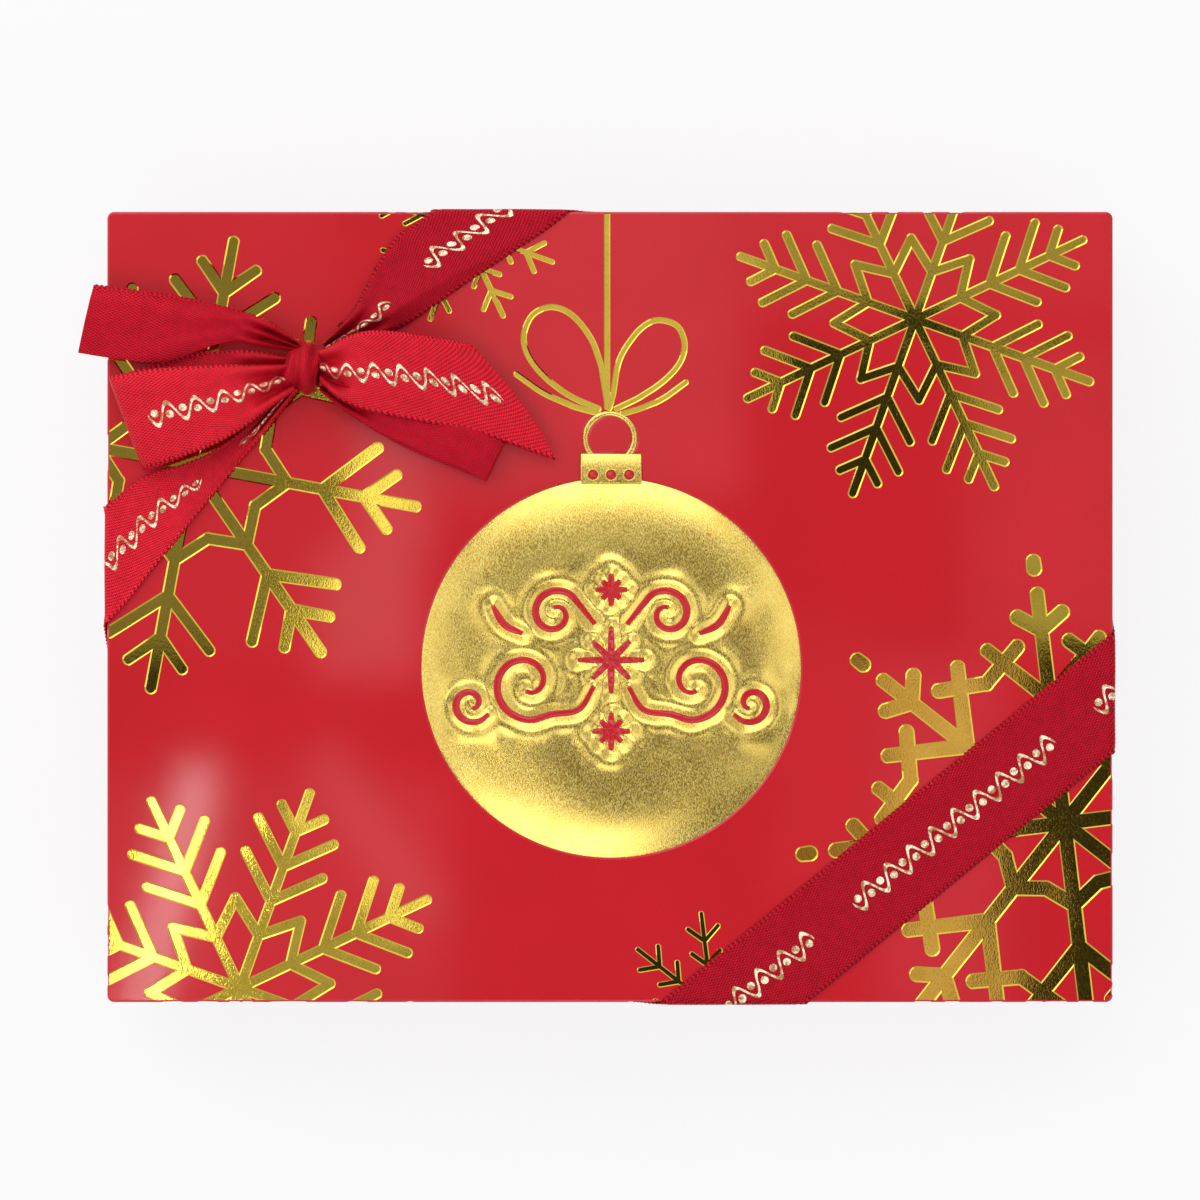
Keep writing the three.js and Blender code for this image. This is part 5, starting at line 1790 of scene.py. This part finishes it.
def make_floor():
    """White paper, which glows for rays that see it and takes a shadow as matt paper does."""
    material, place = new_finish("white_table")
    tree = place.tree
    colour = blend_colours(speckle(place, 300), srgb(244, 244, 246), srgb(250, 250, 252))
    matt = add_node(tree, "BsdfDiffuse", {"Color": colour})
    bright = add_node(tree, "Emission", {"Color": srgb(251, 251, 252), "Strength": 1.0})
    camera, glossy, through = (add_node(tree, "LightPath", output=f"Is {kind} Ray")
                               for kind in ("Camera", "Glossy", "Transmission"))
    seen = camera.math("MAXIMUM", glossy).math("MAXIMUM", through)
    mixed = add_node(tree, "MixShader", {0: seen * GLOW, 1: matt, 2: bright})
    tree.nodes.remove(tree.nodes["Principled BSDF"])
    connect(tree.nodes["Material Output"].inputs["Surface"], mixed)
    return material


sheet = bmesh.new()
bmesh.ops.create_grid(sheet, x_segments=1, y_segments=1, size=FLOOR_HALF)
floor = show("table", mesh_from(sheet, "table", [make_floor()]))
floor.location.z = FLOOR_LEVEL
print("Laid the", floor.name)

# %% Camera
VIEW_WIDTH = 208.8 * MM
LENS = 100
SENSOR = 36
DISTANCE = VIEW_WIDTH * LENS / SENSOR
CAMERA_OFFSET = Vector((-1.74 * MM, 1.22 * MM))
camera_data = bpy.data.cameras.new("camera")
camera_data.lens = LENS
camera_data.sensor_width = SENSOR
camera = show("camera", camera_data)
camera.location = (*CAMERA_OFFSET, LID_TOP + DISTANCE)
bpy.context.scene.camera = camera
print(f"The camera hangs {DISTANCE:.3f} m above the lid")


# %% Softboxes
# The zone is the part of the lid, in millimetres, where the camera sees the softbox mirrored: x from and to,
# y from and to. Then come its height above the lid, its radiance, and its turn and tint where it has them.
SOFTBOXES = (
    ("lamp_front_left", (-79, -74.8, -74, -27), 1.19, 13, -14),
    ("panel_front", (-45, -37, -58, -22), 1.19, 1.1, 34),
    ("panel_front_left", (-96, -28, -78, -30), 1.2, 0.4),
    ("panel_left_high", (-45, -31, 10, 34), 1.2, 1.5),
    ("panel_left_low", (-51, -33, -12, 10), 1.2, 1.5),
    ("panel_back_left", (-104, -49, -8, 84), 1.2, 0.2),
    ("panel_back", (24, 95, 51, 82), 1.2, 0.35),
    ("panel_middle", (-28, 23, 19, 84), 1.2, 0.65),
    ("panel_right", (62, 110, -6, 46), 1.2, 0.4),
    ("panel_right_low", (47, 69, -72, -8), 1.2, 0.68, 0, (1, 0.77, 0.95)),
    ("panel_right_dim", (28, 47, -54, -2), 1.2, 0.3, 0, (1, 0.62, 0.6)),
    ("far_back", (-120, 120, 112, 280), 1.2, 2.75),
    ("far_left", (-280, -112, -110, 110), 1.2, 1.05),
    ("far_front", (-150, 40, -280, -116), 1.2, 3),
    ("far_right", (116, 260, -20, 110), 1.2, 1.4),
    ("far_front_right", (104, 160, -100, 6), 1.2, 2),
)
SIDE_LAMPS = (
    ("key_back_left", (-0.62, 0.62, 0.52), 0.9, 3),
    ("fill_front_right", (0.7, -0.5, 0.5), 0.8, 1.9),
)


def softbox(name, zone, height, radiance, turn=0, tint=(1, 1, 1)):
    x0, x1, y0, y1 = (value * MM for value in zone)
    grow = 1 + height / DISTANCE
    at = CAMERA_OFFSET + (Vector(((x0 + x1) / 2, (y0 + y1) / 2)) - CAMERA_OFFSET) * grow
    lamp = bpy.data.lights.new(name, "AREA")
    lamp.shape = "RECTANGLE"
    lamp.size = (x1 - x0) * grow
    lamp.size_y = (y1 - y0) * grow
    lamp.energy = radiance * math.pi * lamp.size * lamp.size_y
    lamp.color = tint
    holder = show(name, lamp)
    holder.location = (*at, LID_TOP + height)
    holder.rotation_euler.z = math.radians(turn)


def side_lamp(name, location, size, power):
    lamp = bpy.data.lights.new(name, "AREA")
    lamp.size = size
    lamp.energy = power
    holder = show(name, lamp)
    holder.location = location
    holder.rotation_euler = (up(LID_TOP) - Vector(location)).to_track_quat("-Z", "Y").to_euler()


for row in SOFTBOXES:
    softbox(*row)
for row in SIDE_LAMPS:
    side_lamp(*row)
print("Hung", len(SOFTBOXES), "softboxes and", len(SIDE_LAMPS), "lamps at the sides")

# %% Tent
world = bpy.data.worlds.new("tent")
world.use_nodes = True
outward = coordinates(world.node_tree, "Generated")
x, y, z = (add_node(world.node_tree, "SeparateXYZ", {0: outward}, axis) for axis in "XYZ")
level = remap(z, 0.75, 0.9, 0.92, 0.04)
lit_side = remap(y - x, -0.8, 0.8, 0.6, 1.05)
background = world.node_tree.nodes["Background"]
connect(background.inputs["Strength"], level * lit_side)
connect(background.inputs["Color"], (1, 1, 1, 1))
bpy.context.scene.world = world
bpy.context.scene.view_settings.view_transform = "Standard"
print("Pitched the", world.name)
